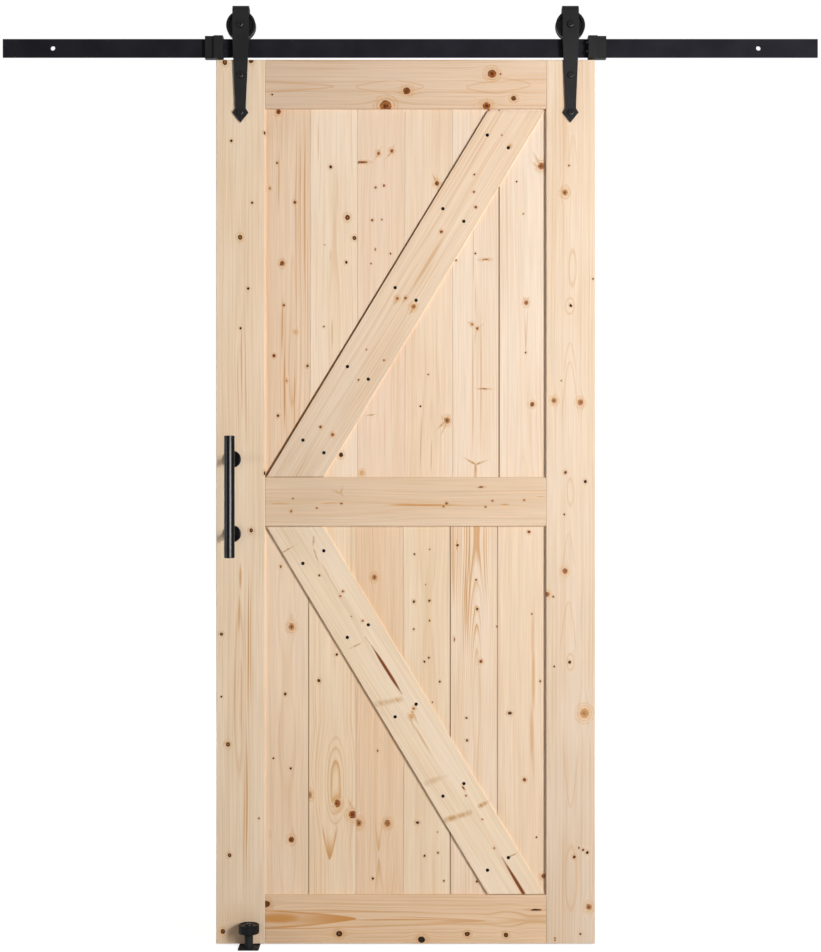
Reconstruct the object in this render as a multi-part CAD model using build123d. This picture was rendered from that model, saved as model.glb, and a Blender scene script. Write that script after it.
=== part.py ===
from build123d import *
from math import acos, atan2, cos, hypot, pi, sin
import os

# Sliding barn door on a flat track, in millimetres.
# X runs along the track, to the right as seen from the front. Y points to the wall, Z is up.
# The origin is midway between the two wall holes, on the wall face of the track rail.

# Cuts run past the faces that they open by this much.
overrun = 2.0

# Track rail
rail_height = 44.5
rail_thickness = 6.0
rail_edge = 0.6
wall_hole_spacing = 1708.0
wall_hole_diameter = 11.5
rail_left_end = 121.0
rail_right_end = 143.5

# Door leaf
door_width = 914.4
door_height = 2133.6
door_thickness = 35.0
top_gap = 8.5
floor_gap = 4.5
stile_width = 118.0
rail_width = 118.0
edge_ease = 1.2

# Boards that fill the frame
board_thickness = 19.0
board_cover = 114.4
upper_first_board = 108.4
lower_first_board = 104.4
panel_groove_depth = 10.0
panel_groove_fit = 0.2
panel_end_gap = 1.0
seam_gap = 0.6
seam_bevel = 0.5
tongue_length = 6.0
tongue_thickness = 4.5
tongue_fit = 0.2
tongue_end_gap = 0.8

# Dowels between rails and stiles
dowel_diameter = 10.0
dowel_length = 60.0
dowel_spacing = 60.0
dowel_fit = 0.1
dowel_end_gap = 1.0

# Diagonal braces and their screws
brace_width = 118.0
brace_thickness = 7.5
brace_side_gap = 3.5
brace_end_gap = 1.5
upper_brace_head_gap = 6.0
brace_edge = 1.0
brace_screw_end_gap = 85.3
brace_screw_inner_share = 0.5175
brace_screw_pair_spacing = 59.0
screw_head_diameter = 8.4
screw_shank_diameter = 4.0
screw_length = 21.0
screw_cone_height = 3.0
screw_point_height = 4.0
screw_fit = 0.1
screw_recess_length = 4.6
screw_recess_width = 1.0
screw_recess_depth = 1.6

# Wheels
wheel_radius = 35.5
wheel_groove_depth = 4.0
wheel_groove_side_gap = 0.5
wheel_width = 24.0
wheel_groove_draft = 0.8
wheel_rim_bevel = 1.5
wheel_rim_width = 6.5
wheel_hub_radius = 17.0
wheel_dish_depth = 4.0
wheel_dish_draft = 1.5
wheel_side_gap = 1.5
rolling_gap = 0.3

# Ball bearings in the wheels
bearing_outer_diameter = 26.0
bearing_width = 8.0
bearing_ring_wall = 2.2
bearing_ball_diameter = 4.6
bearing_ball_count = 7
bearing_ball_fit = 0.15
bearing_seat_fit = 0.05
bearing_shoulder = 3.0

# Axle bolts, nuts and spacers
axle_diameter = 10.0
axle_fit = 0.1
axle_head_diameter = 18.0
axle_head_height = 5.5
axle_socket_width = 6.0
axle_nut_width = 16.0
axle_nut_height = 6.0
axle_tail = 1.5
spacer_diameter = 15.0

# Hanger straps with an arrow point
strap_thickness = 5.0
strap_width = 39.5
strap_wheel_gap = 6.9
strap_bend_radius = 9.0
strap_shoulder_drop = 33.0
strap_neck_drop = 202.5
strap_neck_width = 25.0
arrow_flare = 10.0
arrow_width = 38.0
arrow_point = 24.0
strap_edge = 0.7

# Bolts that hold the straps to the stiles
upper_bolt_drop = 122.5
lower_bolt_below_arrow_wide = 0.5
strap_bolt_diameter = 8.0
strap_bolt_fit = 0.2
strap_bolt_head_diameter = 16.5
strap_bolt_head_height = 4.6
strap_bolt_socket_width = 5.0
strap_washer_diameter = 20.0
strap_washer_height = 2.0
strap_nut_width = 13.0
strap_nut_height = 6.5
strap_bolt_tail = 1.5

# Button heads share one dome and socket form.
dome_share = 0.8
socket_depth_share = 0.55
nut_chamfer_share = 0.12

# Rail stops, one beyond each hanger
stop_setback = 42.5
stop_bumper_half = 22.5
stop_outer_half = 21.5
stop_bumper_depth = 16.0
stop_outer_depth = 9.5
stop_upper_lip = 4.8
stop_lower_lip = 4.6
stop_fit = 0.2
stop_plate_thickness = 3.0
stop_edge = 0.8
stop_screw_diameter = 3.0
stop_screw_length = 12.0
stop_screw_head_diameter = 4.4
stop_screw_head_height = 1.8
stop_screw_fit = 0.05
bumper_diameter = 6.0
bumper_reach = 6.0
bumper_root = 8.0
bumper_round = 1.5
bumper_fit = 0.05
bumper_setback = 4.5
upper_bumper_height = 11.0
lower_bumper_height = -10.5

# Pull handle
handle_inset = 39.7
handle_drop = 1054.0
handle_length = 290.0
handle_diameter = 25.0
handle_standoff = 72.0
handle_overhang = 55.0
handle_post_diameter = 14.0
handle_end_edge = 1.0
rose_diameter = 41.0
rose_height = 7.0
rose_round = 2.0
handle_screw_diameter = 6.0
handle_screw_grip = 18.0
handle_screw_head_diameter = 12.0
handle_screw_head_height = 3.0
handle_screw_socket_width = 4.0
handle_screw_fit = 0.1

# Floor guide with a roller on each side of the door
guide_inset = 81.2
guide_plate_width = 50.0
guide_plate_thickness = 3.0
guide_plate_margin = 18.0
guide_plate_corner = 4.0
guide_floor_hole_diameter = 5.5
guide_floor_hole_spacing = 30.0
guide_post_diameter = 20.5
guide_post_height = 34.0
guide_foot_diameter = 12.0
guide_foot_fit = 0.1
guide_pin_diameter = 12.0
guide_roller_diameter = 50.0
guide_roller_height = 21.0
guide_roller_round = 1.5
guide_roller_dish = 2.0
guide_roller_rim = 3.5
guide_roller_gap = 0.4
guide_pin_fit = 0.08
guide_door_gap = 0.6
guide_cap_diameter = 18.0
guide_cap_height = 4.0
guide_cap_thread_diameter = 6.0
guide_cap_thread_length = 14.0
guide_cap_socket_width = 4.0

# Planes and lines that several pieces share
wheel_groove_radius = wheel_radius - wheel_groove_depth
axle_z = rail_height / 2 + rolling_gap + wheel_groove_radius
door_top = -rail_height / 2 - top_gap
door_bottom = door_top - door_height
floor_z = door_bottom - floor_gap
wheel_y = -rail_thickness / 2
strap_gap = wheel_width + 2 * wheel_side_gap
door_front = wheel_y - strap_gap / 2
door_back = door_front + door_thickness
door_middle = (door_front + door_back) / 2
strap_face = door_front - strap_thickness
strap_back = door_front + strap_gap + strap_thickness
panel_left = -door_width / 2 + stile_width
panel_right = door_width / 2 - stile_width
board_front = door_middle - board_thickness / 2
board_back = door_middle + board_thickness / 2
brace_front = board_front - brace_thickness
panel_insert = panel_groove_depth - panel_end_gap
middle_rail_top = (door_top + door_bottom + rail_width) / 2
rail_tops = {
    "top_rail": door_top,
    "middle_rail": middle_rail_top,
    "bottom_rail": door_bottom + rail_width,
}
hanger_x = door_width / 2 - stile_width / 2
strap_neck_z = axle_z - strap_neck_drop
arrow_wide_z = strap_neck_z - arrow_flare
hanger_sides = {"left": -1, "right": 1}

from_base = (Align.CENTER, Align.CENTER, Align.MIN)
along_x = (0, 90, 0)
along_y = (-90, 0, 0)


def block(x_span, y_span, z_span):
    spans = (x_span, y_span, z_span)
    sizes = [high - low for low, high in spans]
    middle = [(low + high) / 2 for low, high in spans]
    return Pos(*middle) * Box(*sizes)


def rod(start, turn, diameter, length):
    return Pos(*start) * Rot(*turn) * Cylinder(diameter / 2, length, align=from_base)


def turned(outline):
    section = make_face(Polyline(*[(radius, 0, height) for radius, height in outline], close=True))
    return revolve(section, Axis.Z)


def prism(points, y_low, y_high):
    face = make_face(Polyline(*[(x, y_low, z) for x, z in points], close=True))
    return extrude(face, y_high - y_low, dir=(0, 1, 0))


def button_bolt(diameter, length, head_diameter, head_height, socket_width):
    # The seat of the head is at zero and the shank runs along +Z.
    head = Pos(0, 0, -head_height) * Cylinder(head_diameter / 2, head_height, align=from_base)
    head = fillet(head.edges().sort_by(Axis.Z)[0], head_height * dome_share)
    shank = Cylinder(diameter / 2, length, align=from_base)
    hexagon = RegularPolygon(socket_width / 2, 6, major_radius=False)
    socket = Pos(0, 0, -head_height) * extrude(hexagon, head_height * socket_depth_share)
    return head + shank - socket


def hex_nut(width, height, bore):
    body = extrude(RegularPolygon(width / 2, 6, major_radius=False), height)
    corners = Cylinder(width / 2 / cos(pi / 6), height, align=from_base)
    corners = chamfer(corners.edges().filter_by(GeomType.CIRCLE), nut_chamfer_share * height)
    return (body & corners) - Cylinder(bore / 2, height, align=from_base)


def screw_form(extra):
    # A countersunk wood screw with its head flush at zero, grown by a clearance.
    head = screw_head_diameter / 2 + extra
    shank = screw_shank_diameter / 2 + extra
    tip = screw_length + extra
    outline = [
        (0, 0),
        (head, 0),
        (shank, screw_cone_height),
        (shank, tip - screw_point_height),
        (0, tip),
    ]
    return turned(outline)


def wood_screw():
    reach = screw_recess_length
    slot = Box(reach, screw_recess_width, screw_recess_depth, align=from_base)
    crossing = Box(screw_recess_width, reach, screw_recess_depth, align=from_base)
    return screw_form(0) - slot - crossing


def track_rail():
    # The bar runs on past each wall hole by its own end length.
    half = wall_hole_spacing / 2
    x_span = (-half - rail_left_end, half + rail_right_end)
    bar = block(x_span, (-rail_thickness, 0), (-rail_height / 2, rail_height / 2))
    bar = chamfer(bar.edges().filter_by(Axis.X), rail_edge)
    for side in hanger_sides.values():
        start = (side * half, -rail_thickness - overrun, 0)
        bar -= rod(start, along_y, wall_hole_diameter, rail_thickness + 2 * overrun)
    return bar


def groove(x_span, z_span):
    # A slot in the frame for the boards and the stub tenons, at the middle of the thickness.
    return block(x_span, (board_front - panel_groove_fit, board_back + panel_groove_fit), z_span)


def dowel_places():
    places = []
    for top in rail_tops.values():
        for shift in (-dowel_spacing / 2, dowel_spacing / 2):
            for shoulder in (panel_left, panel_right):
                places.append((shoulder, top - rail_width / 2 + shift))
    return places


def dowel(shoulder, z, diameter, length):
    return rod((shoulder - length / 2, door_middle, z), along_x, diameter, length)


def drill_dowels(piece):
    hole_length = dowel_length + 2 * dowel_end_gap
    for shoulder, z in dowel_places():
        piece -= dowel(shoulder, z, dowel_diameter + 2 * dowel_fit, hole_length)
    return piece


def strap_bolt_places(side):
    x = side * hanger_x
    return [(x, axle_z - upper_bolt_drop), (x, arrow_wide_z - lower_bolt_below_arrow_wide)]


def handle_places():
    x = -door_width / 2 + handle_inset
    middle = door_top - handle_drop
    reach = handle_length / 2 - handle_overhang
    return [(x, middle + reach), (x, middle - reach)]


def door_hole(place, diameter):
    x, z = place
    start = (x, door_front - overrun, z)
    return rod(start, along_y, diameter, door_thickness + 2 * overrun)


def stile(side):
    outer = side * door_width / 2
    inner = side * (door_width / 2 - stile_width)
    x_span = sorted((outer, inner))
    body = block(x_span, (door_front, door_back), (door_bottom, door_top))
    body = chamfer(body.edges(), edge_ease)
    slot_span = sorted((inner - side * overrun, inner + side * panel_groove_depth))
    body -= groove(slot_span, (door_bottom - overrun, door_top + overrun))
    for place in strap_bolt_places(side):
        body -= door_hole(place, strap_bolt_diameter + 2 * strap_bolt_fit)
    if side == hanger_sides["left"]:
        for place in handle_places():
            body -= door_hole(place, handle_screw_diameter + 2 * handle_screw_fit)
    return drill_dowels(body)


def frame_rail(name):
    top = rail_tops[name]
    bottom = top - rail_width
    body = block((panel_left, panel_right), (door_front, door_back), (bottom, top))
    body = chamfer(body.edges(), edge_ease)
    tenon = (panel_left - panel_insert, panel_right + panel_insert)
    body += block(tenon, (board_front, board_back), (bottom, top))
    across = (panel_left - panel_groove_depth, panel_right + panel_groove_depth)
    if name != "top_rail":
        body -= groove(across, (top - panel_groove_depth, top + overrun))
    if name != "bottom_rail":
        body -= groove(across, (bottom - overrun, bottom + panel_groove_depth))
    return drill_dowels(body)


def panel_span(level):
    # Top and bottom of the clear opening above or below the middle rail.
    if level == "upper":
        return rail_tops["top_rail"] - rail_width, middle_rail_top
    return middle_rail_top - rail_width, rail_tops["bottom_rail"]


def seam_lines(first_width):
    # The first board is ripped to its own width and the last one takes up what is left.
    full_boards = round((panel_right - panel_left - first_width) / board_cover)
    seams = [panel_left + first_width + board_cover * step for step in range(full_boards)]
    return [panel_left, *seams, panel_right]


def left_side(edge, at_stile):
    if at_stile:
        end = edge - panel_insert
        return [(end, board_back), (end, board_front)]
    face = edge + seam_gap / 2
    floor = face + tongue_length - seam_gap + tongue_end_gap
    half = tongue_thickness / 2 + tongue_fit
    return [
        (face + seam_bevel, board_back),
        (face, board_back - seam_bevel),
        (face, door_middle + half),
        (floor, door_middle + half),
        (floor, door_middle - half),
        (face, door_middle - half),
        (face, board_front + seam_bevel),
        (face + seam_bevel, board_front),
    ]


def right_side(edge, at_stile):
    if at_stile:
        end = edge + panel_insert
        return [(end, board_front), (end, board_back)]
    face = edge - seam_gap / 2
    tip = face + tongue_length
    half = tongue_thickness / 2
    return [
        (face - seam_bevel, board_front),
        (face, board_front + seam_bevel),
        (face, door_middle - half),
        (tip, door_middle - half),
        (tip, door_middle + half),
        (face, door_middle + half),
        (face, board_back - seam_bevel),
        (face - seam_bevel, board_back),
    ]


def boards(level, first_width):
    opening_top, opening_bottom = panel_span(level)
    low = opening_bottom - panel_insert
    high = opening_top + panel_insert
    seams = seam_lines(first_width)
    cuts = [place_screw(screw_form(screw_fit), place) for place in brace_screw_places(level)]
    made = []
    for left, right in zip(seams, seams[1:]):
        points = left_side(left, left == panel_left)
        points += right_side(right, right == panel_right)
        section = make_face(Polyline(*[(x, y, low) for x, y in points], close=True))
        board = extrude(section, high - low, dir=(0, 0, 1))
        for cut in cuts:
            reach = cut.bounding_box()
            if left < reach.max.X and reach.min.X < right + tongue_length:
                board -= cut
        made.append(board)
    return made


def brace_span(level):
    opening_top, opening_bottom = panel_span(level)
    head_gap = upper_brace_head_gap if level == "upper" else brace_end_gap
    return opening_top - head_gap, opening_bottom + brace_end_gap


def brace_lean(level):
    # The angle from upright at which the stock just fills the opening from corner to corner.
    top, bottom = brace_span(level)
    reach = panel_right - panel_left - 2 * brace_side_gap
    diagonal = hypot(reach, top - bottom)
    return acos(brace_width / diagonal) - atan2(top - bottom, reach)


def brace_screw_places(level):
    top, bottom = brace_span(level)
    lean = brace_lean(level)
    rise = 1 if level == "upper" else -1
    middle_z = (top + bottom) / 2
    outer = (top - bottom) / 2 / cos(lean) - brace_screw_end_gap
    inner = outer * brace_screw_inner_share
    places = []
    for run in (-outer, -inner, 0, inner, outer):
        for across in (-brace_screw_pair_spacing / 2, brace_screw_pair_spacing / 2):
            x = run * sin(lean) + across * cos(lean)
            z = run * cos(lean) - across * sin(lean)
            places.append((x, middle_z + rise * z))
    return places


def place_screw(screw, place):
    x, z = place
    return Pos(x, brace_front, z) * Rot(*along_y) * screw


def brace(level):
    top, bottom = brace_span(level)
    left = panel_left + brace_side_gap
    right = panel_right - brace_side_gap
    cut_width = brace_width / cos(brace_lean(level))
    foot, head = (bottom, top) if level == "upper" else (top, bottom)
    corners = [(left, foot), (left + cut_width, foot), (right, head), (right - cut_width, head)]
    plank = prism(corners, brace_front, board_front)
    plank = chamfer(plank.faces().sort_by(Axis.Y)[0].edges(), brace_edge)
    for place in brace_screw_places(level):
        plank -= place_screw(screw_form(screw_fit), place)
    return plank


def hanger_strap(side):
    x = side * hanger_x
    half = strap_width / 2
    crown = axle_z + wheel_radius + strap_wheel_gap + strap_thickness
    outer_radius = strap_bend_radius + strap_thickness
    spring = crown - outer_radius
    x_span = (x - half, x + half)
    outer = block(x_span, (strap_face, strap_back), (spring - outer_radius, crown))
    outer = fillet(outer.edges().filter_by(Axis.X).group_by(Axis.Z)[-1], outer_radius)
    inner_y = (strap_face + strap_thickness, strap_back - strap_thickness)
    inner_z = (spring - outer_radius - overrun, crown - strap_thickness)
    inner = block((x - half - overrun, x + half + overrun), inner_y, inner_z)
    inner = fillet(inner.edges().filter_by(Axis.X).group_by(Axis.Z)[-1], strap_bend_radius)
    hoop = outer - inner
    flank = [
        (half, spring),
        (half, axle_z - strap_shoulder_drop),
        (strap_neck_width / 2, strap_neck_z),
        (arrow_width / 2, arrow_wide_z),
    ]
    right_flank = [(x + out, z) for out, z in flank]
    left_flank = [(x - out, z) for out, z in reversed(flank)]
    tip = (x, arrow_wide_z - arrow_point)
    leg = prism([*right_flank, tip, *left_flank], strap_face, door_front)
    rear = block(x_span, (strap_back - strap_thickness, strap_back), (axle_z, spring))
    rear += rod((x, strap_back - strap_thickness, axle_z), along_y, strap_width, strap_thickness)
    strap = hoop + leg + rear
    face = strap.faces().filter_by(Plane.XZ).sort_by(Axis.Y)[0]
    rim = [edge for edge in face.edges() if edge.center().Z < spring - strap_edge]
    strap = fillet(rim, strap_edge)
    axle_hole = axle_diameter + 2 * axle_fit
    hole_length = strap_back - strap_face + 2 * overrun
    strap -= rod((x, strap_face - overrun, axle_z), along_y, axle_hole, hole_length)
    for bolt_x, bolt_z in strap_bolt_places(side):
        start = (bolt_x, strap_face - overrun, bolt_z)
        hole = strap_bolt_diameter + 2 * strap_bolt_fit
        strap -= rod(start, along_y, hole, strap_thickness + 2 * overrun)
    return strap


def at_wheel(side, piece):
    return Pos(side * hanger_x, wheel_y, axle_z) * Rot(*along_y) * piece


def wheel(side):
    half = wheel_width / 2
    floor = half - wheel_dish_depth
    rim = wheel_radius - wheel_rim_width
    slot = rail_thickness / 2 + wheel_groove_side_gap
    seat = bearing_outer_diameter / 2 + bearing_seat_fit
    shoulder = bearing_outer_diameter / 2 - bearing_shoulder
    rear_side = [
        (wheel_groove_radius, slot),
        (wheel_radius, slot + wheel_groove_draft),
        (wheel_radius, half - wheel_rim_bevel),
        (wheel_radius - wheel_rim_bevel, half),
        (rim, half),
        (rim - wheel_dish_draft, floor),
        (wheel_hub_radius + wheel_dish_draft, floor),
        (wheel_hub_radius, half),
    ]
    front_side = [(radius, -height) for radius, height in reversed(rear_side)]
    bore = [(seat, half), (seat, -bearing_width / 2), (shoulder, -bearing_width / 2), (shoulder, -half)]
    return at_wheel(side, turned([*front_side, *rear_side, *bore]))


def bearing_ring(inner_radius, outer_radius):
    half = bearing_width / 2
    corners = [(inner_radius, -half), (outer_radius, -half), (outer_radius, half), (inner_radius, half)]
    raceway = Torus(ball_circle(), bearing_ball_diameter / 2 + bearing_ball_fit)
    return turned(corners) - raceway


def ball_circle():
    return (axle_diameter / 2 + axle_fit + bearing_outer_diameter / 2) / 2


def outer_ring(side):
    outside = bearing_outer_diameter / 2
    return at_wheel(side, bearing_ring(outside - bearing_ring_wall, outside))


def inner_ring(side):
    bore = axle_diameter / 2 + axle_fit
    return at_wheel(side, bearing_ring(bore, bore + bearing_ring_wall))


def bearing_balls(side):
    ball = Sphere(bearing_ball_diameter / 2)
    spots = PolarLocations(ball_circle(), bearing_ball_count)
    return Compound(children=[at_wheel(side, spot * ball) for spot in spots])


def axle_spacers(side):
    length = strap_gap / 2 - bearing_width / 2
    sleeve = Cylinder(spacer_diameter / 2, length, align=from_base)
    sleeve -= Cylinder(axle_diameter / 2 + axle_fit, length, align=from_base)
    front = at_wheel(side, Pos(0, 0, -strap_gap / 2) * sleeve)
    rear = at_wheel(side, Pos(0, 0, bearing_width / 2) * sleeve)
    return [front, rear]


def axle_bolt(side):
    length = strap_back - strap_face + axle_nut_height + axle_tail
    bolt = button_bolt(axle_diameter, length, axle_head_diameter, axle_head_height, axle_socket_width)
    return Pos(side * hanger_x, strap_face, axle_z) * Rot(*along_y) * bolt


def axle_nut(side):
    nut = hex_nut(axle_nut_width, axle_nut_height, axle_diameter + 2 * axle_fit)
    return Pos(side * hanger_x, strap_back, axle_z) * Rot(*along_y) * nut


def strap_bolts(side):
    length = door_back - strap_face + strap_washer_height + strap_nut_height + strap_bolt_tail
    bolt = button_bolt(
        strap_bolt_diameter,
        length,
        strap_bolt_head_diameter,
        strap_bolt_head_height,
        strap_bolt_socket_width,
    )
    return [Pos(x, strap_face, z) * Rot(*along_y) * bolt for x, z in strap_bolt_places(side)]


def strap_washers(side):
    washer = Cylinder(strap_washer_diameter / 2, strap_washer_height, align=from_base)
    washer -= Cylinder(strap_bolt_diameter / 2 + strap_bolt_fit, strap_washer_height, align=from_base)
    return [Pos(x, door_back, z) * Rot(*along_y) * washer for x, z in strap_bolt_places(side)]


def strap_nuts(side):
    nut = hex_nut(strap_nut_width, strap_nut_height, strap_bolt_diameter + 2 * strap_bolt_fit)
    seat = door_back + strap_washer_height
    return [Pos(x, seat, z) * Rot(*along_y) * nut for x, z in strap_bolt_places(side)]


def stop_inner_x(side):
    return side * (hanger_x + stop_setback)


def stop_spans(side):
    inner = stop_inner_x(side)
    step = inner + side * stop_bumper_half
    outer = step + side * stop_outer_half
    return sorted((inner, step)), sorted((step, outer)), sorted((inner, outer))


def stop_lips():
    clear = rail_height / 2 + stop_fit
    return -clear - stop_lower_lip, -clear, clear, clear + stop_upper_lip


def bumper_y():
    return -rail_thickness - stop_fit - stop_bumper_depth + bumper_setback


def stop_screw_heights():
    low, clear_low, clear_high, high = stop_lips()
    return (low + clear_low) / 2, (clear_high + high) / 2


def stop_clamp(side):
    bumper_x, outer_x, whole_x = stop_spans(side)
    low, clear_low, clear_high, high = stop_lips()
    front = -rail_thickness - stop_fit
    back = stop_fit
    clamp = block(bumper_x, (front - stop_bumper_depth, back), (low, high))
    clamp += block(outer_x, (front - stop_outer_depth, back), (low, high))
    front_edges = [edge for edge in clamp.edges() if edge.bounding_box().max.Y < front]
    clamp = chamfer(front_edges, stop_edge)
    channel_x = (whole_x[0] - overrun, whole_x[1] + overrun)
    clamp -= block(channel_x, (front, back + overrun), (clear_low, clear_high))
    for z in stop_screw_heights():
        clamp -= stop_screw_hole(side, z)
    for z in (lower_bumper_height, upper_bumper_height):
        hole = bumper_diameter + 2 * bumper_fit
        depth = bumper_root + bumper_fit
        start = stop_inner_x(side) if side > 0 else stop_inner_x(side) - depth
        clamp -= rod((start, bumper_y(), z), along_x, hole, depth)
    return clamp


def stop_screw_hole(side, z):
    x = stop_inner_x(side) + side * stop_bumper_half / 2
    length = stop_screw_length + stop_screw_fit
    start = (x, stop_fit + stop_plate_thickness - length, z)
    return rod(start, along_y, stop_screw_diameter + 2 * stop_screw_fit, length)


def stop_plate(side):
    whole_x = stop_spans(side)[2]
    lips = stop_lips()
    plate = block(whole_x, (stop_fit, stop_fit + stop_plate_thickness), (lips[0], lips[-1]))
    plate = chamfer(plate.faces().sort_by(Axis.Y)[-1].edges(), stop_edge)
    for z in stop_screw_heights():
        plate -= stop_screw_hole(side, z)
    return plate


def stop_screws(side):
    x = stop_inner_x(side) + side * stop_bumper_half / 2
    seat = stop_fit + stop_plate_thickness
    head = Cylinder(stop_screw_head_diameter / 2, stop_screw_head_height, align=from_base)
    shank = Pos(0, 0, -stop_screw_length)
    screw = head + shank * Cylinder(stop_screw_diameter / 2, stop_screw_length, align=from_base)
    return Compound(children=[Pos(x, seat, z) * Rot(*along_y) * screw for z in stop_screw_heights()])


def stop_bumpers(side):
    length = bumper_root + bumper_reach
    stud = Cylinder(bumper_diameter / 2, length, align=from_base)
    stud = fillet(stud.edges().sort_by(Axis.Z)[-1], bumper_round)
    root_x = stop_inner_x(side) + side * bumper_root
    turn = Rot(0, -side * 90, 0)
    heights = (lower_bumper_height, upper_bumper_height)
    return Compound(children=[Pos(root_x, bumper_y(), z) * turn * stud for z in heights])


def handle_bar_y():
    return door_front - handle_standoff


def handle_bar():
    x, upper_z = handle_places()[0]
    low = upper_z + handle_overhang - handle_length
    bar = Pos(x, handle_bar_y(), low) * Cylinder(handle_diameter / 2, handle_length, align=from_base)
    return chamfer(bar.edges().filter_by(GeomType.CIRCLE), handle_end_edge)


def handle_post(place):
    # A round rose against the door with a post that ends in a saddle on the bar.
    x, z = place
    rose = Cylinder(rose_diameter / 2, rose_height, align=from_base)
    rose = fillet(rose.edges().sort_by(Axis.Z)[-1], rose_round)
    post = rose + Cylinder(handle_post_diameter / 2, handle_standoff, align=from_base)
    bore = handle_screw_diameter + 2 * handle_screw_fit
    post -= Cylinder(bore / 2, handle_screw_grip + handle_screw_fit, align=from_base)
    post = Pos(x, door_front, z) * Rot(90, 0, 0) * post
    saddle = Pos(x, handle_bar_y(), z) * Cylinder(handle_diameter / 2, handle_diameter + rose_diameter)
    return post - saddle


def handle_screw(place):
    x, z = place
    screw = button_bolt(
        handle_screw_diameter,
        door_thickness + handle_screw_grip,
        handle_screw_head_diameter,
        handle_screw_head_height,
        handle_screw_socket_width,
    )
    return Pos(x, door_back, z) * Rot(90, 0, 0) * screw


def guide_posts_y():
    reach = guide_door_gap + guide_roller_diameter / 2
    return {"front": door_front - reach, "rear": door_back + reach}


def guide_x():
    return -door_width / 2 + guide_inset


def guide_base_plate():
    rows = guide_posts_y()
    half = guide_plate_width / 2
    x_span = (guide_x() - half, guide_x() + half)
    y_span = (rows["front"] - guide_plate_margin, rows["rear"] + guide_plate_margin)
    plate = block(x_span, y_span, (floor_z, floor_z + guide_plate_thickness))
    plate = fillet(plate.edges().filter_by(Axis.Z), guide_plate_corner)
    through = guide_plate_thickness + 2 * overrun
    for y in rows.values():
        foot = guide_foot_diameter / 2 + guide_foot_fit
        plate -= Pos(guide_x(), y, floor_z - overrun) * Cylinder(foot, through, align=from_base)
    for side in hanger_sides.values():
        x = guide_x() + side * guide_floor_hole_spacing / 2
        hole = Cylinder(guide_floor_hole_diameter / 2, through, align=from_base)
        plate -= Pos(x, door_middle, floor_z - overrun) * hole
    return plate


def guide_post(row):
    # A foot in the plate, a round column, and a pin that carries the roller.
    foot = guide_foot_diameter / 2
    column = guide_post_diameter / 2
    pin = guide_pin_diameter / 2
    column_top = guide_plate_thickness + guide_post_height
    pin_top = column_top + 2 * guide_roller_gap + guide_roller_height - guide_roller_dish
    thread = guide_cap_thread_diameter / 2 + guide_pin_fit
    thread_floor = pin_top - guide_cap_thread_length - guide_roller_gap
    outline = [
        (0, 0),
        (foot, 0),
        (foot, guide_plate_thickness),
        (column, guide_plate_thickness),
        (column, column_top),
        (pin, column_top),
        (pin, pin_top),
        (thread, pin_top),
        (thread, thread_floor),
        (0, thread_floor),
    ]
    return Pos(guide_x(), guide_posts_y()[row], floor_z) * turned(outline)


def guide_roller(row):
    bore = guide_pin_diameter / 2 + guide_pin_fit
    outside = guide_roller_diameter / 2
    top = guide_roller_height
    dish = outside - guide_roller_rim
    outline = [
        (bore, 0),
        (outside - guide_roller_round, 0),
        (outside, guide_roller_round),
        (outside, top - guide_roller_round),
        (outside - guide_roller_round, top),
        (dish, top),
        (dish - guide_roller_dish, top - guide_roller_dish),
        (bore, top - guide_roller_dish),
    ]
    low = floor_z + guide_plate_thickness + guide_post_height + guide_roller_gap
    return Pos(guide_x(), guide_posts_y()[row], low) * turned(outline)


def guide_cap(row):
    cap = button_bolt(
        guide_cap_thread_diameter,
        guide_cap_thread_length,
        guide_cap_diameter,
        guide_cap_height,
        guide_cap_socket_width,
    )
    pin_height = guide_roller_height - guide_roller_dish + 2 * guide_roller_gap
    seat = floor_z + guide_plate_thickness + guide_post_height + pin_height
    return Pos(guide_x(), guide_posts_y()[row], seat) * Rot(180, 0, 0) * cap


def both_sides(make):
    return Compound(children=[piece for side in hanger_sides.values() for piece in make(side)])


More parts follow.
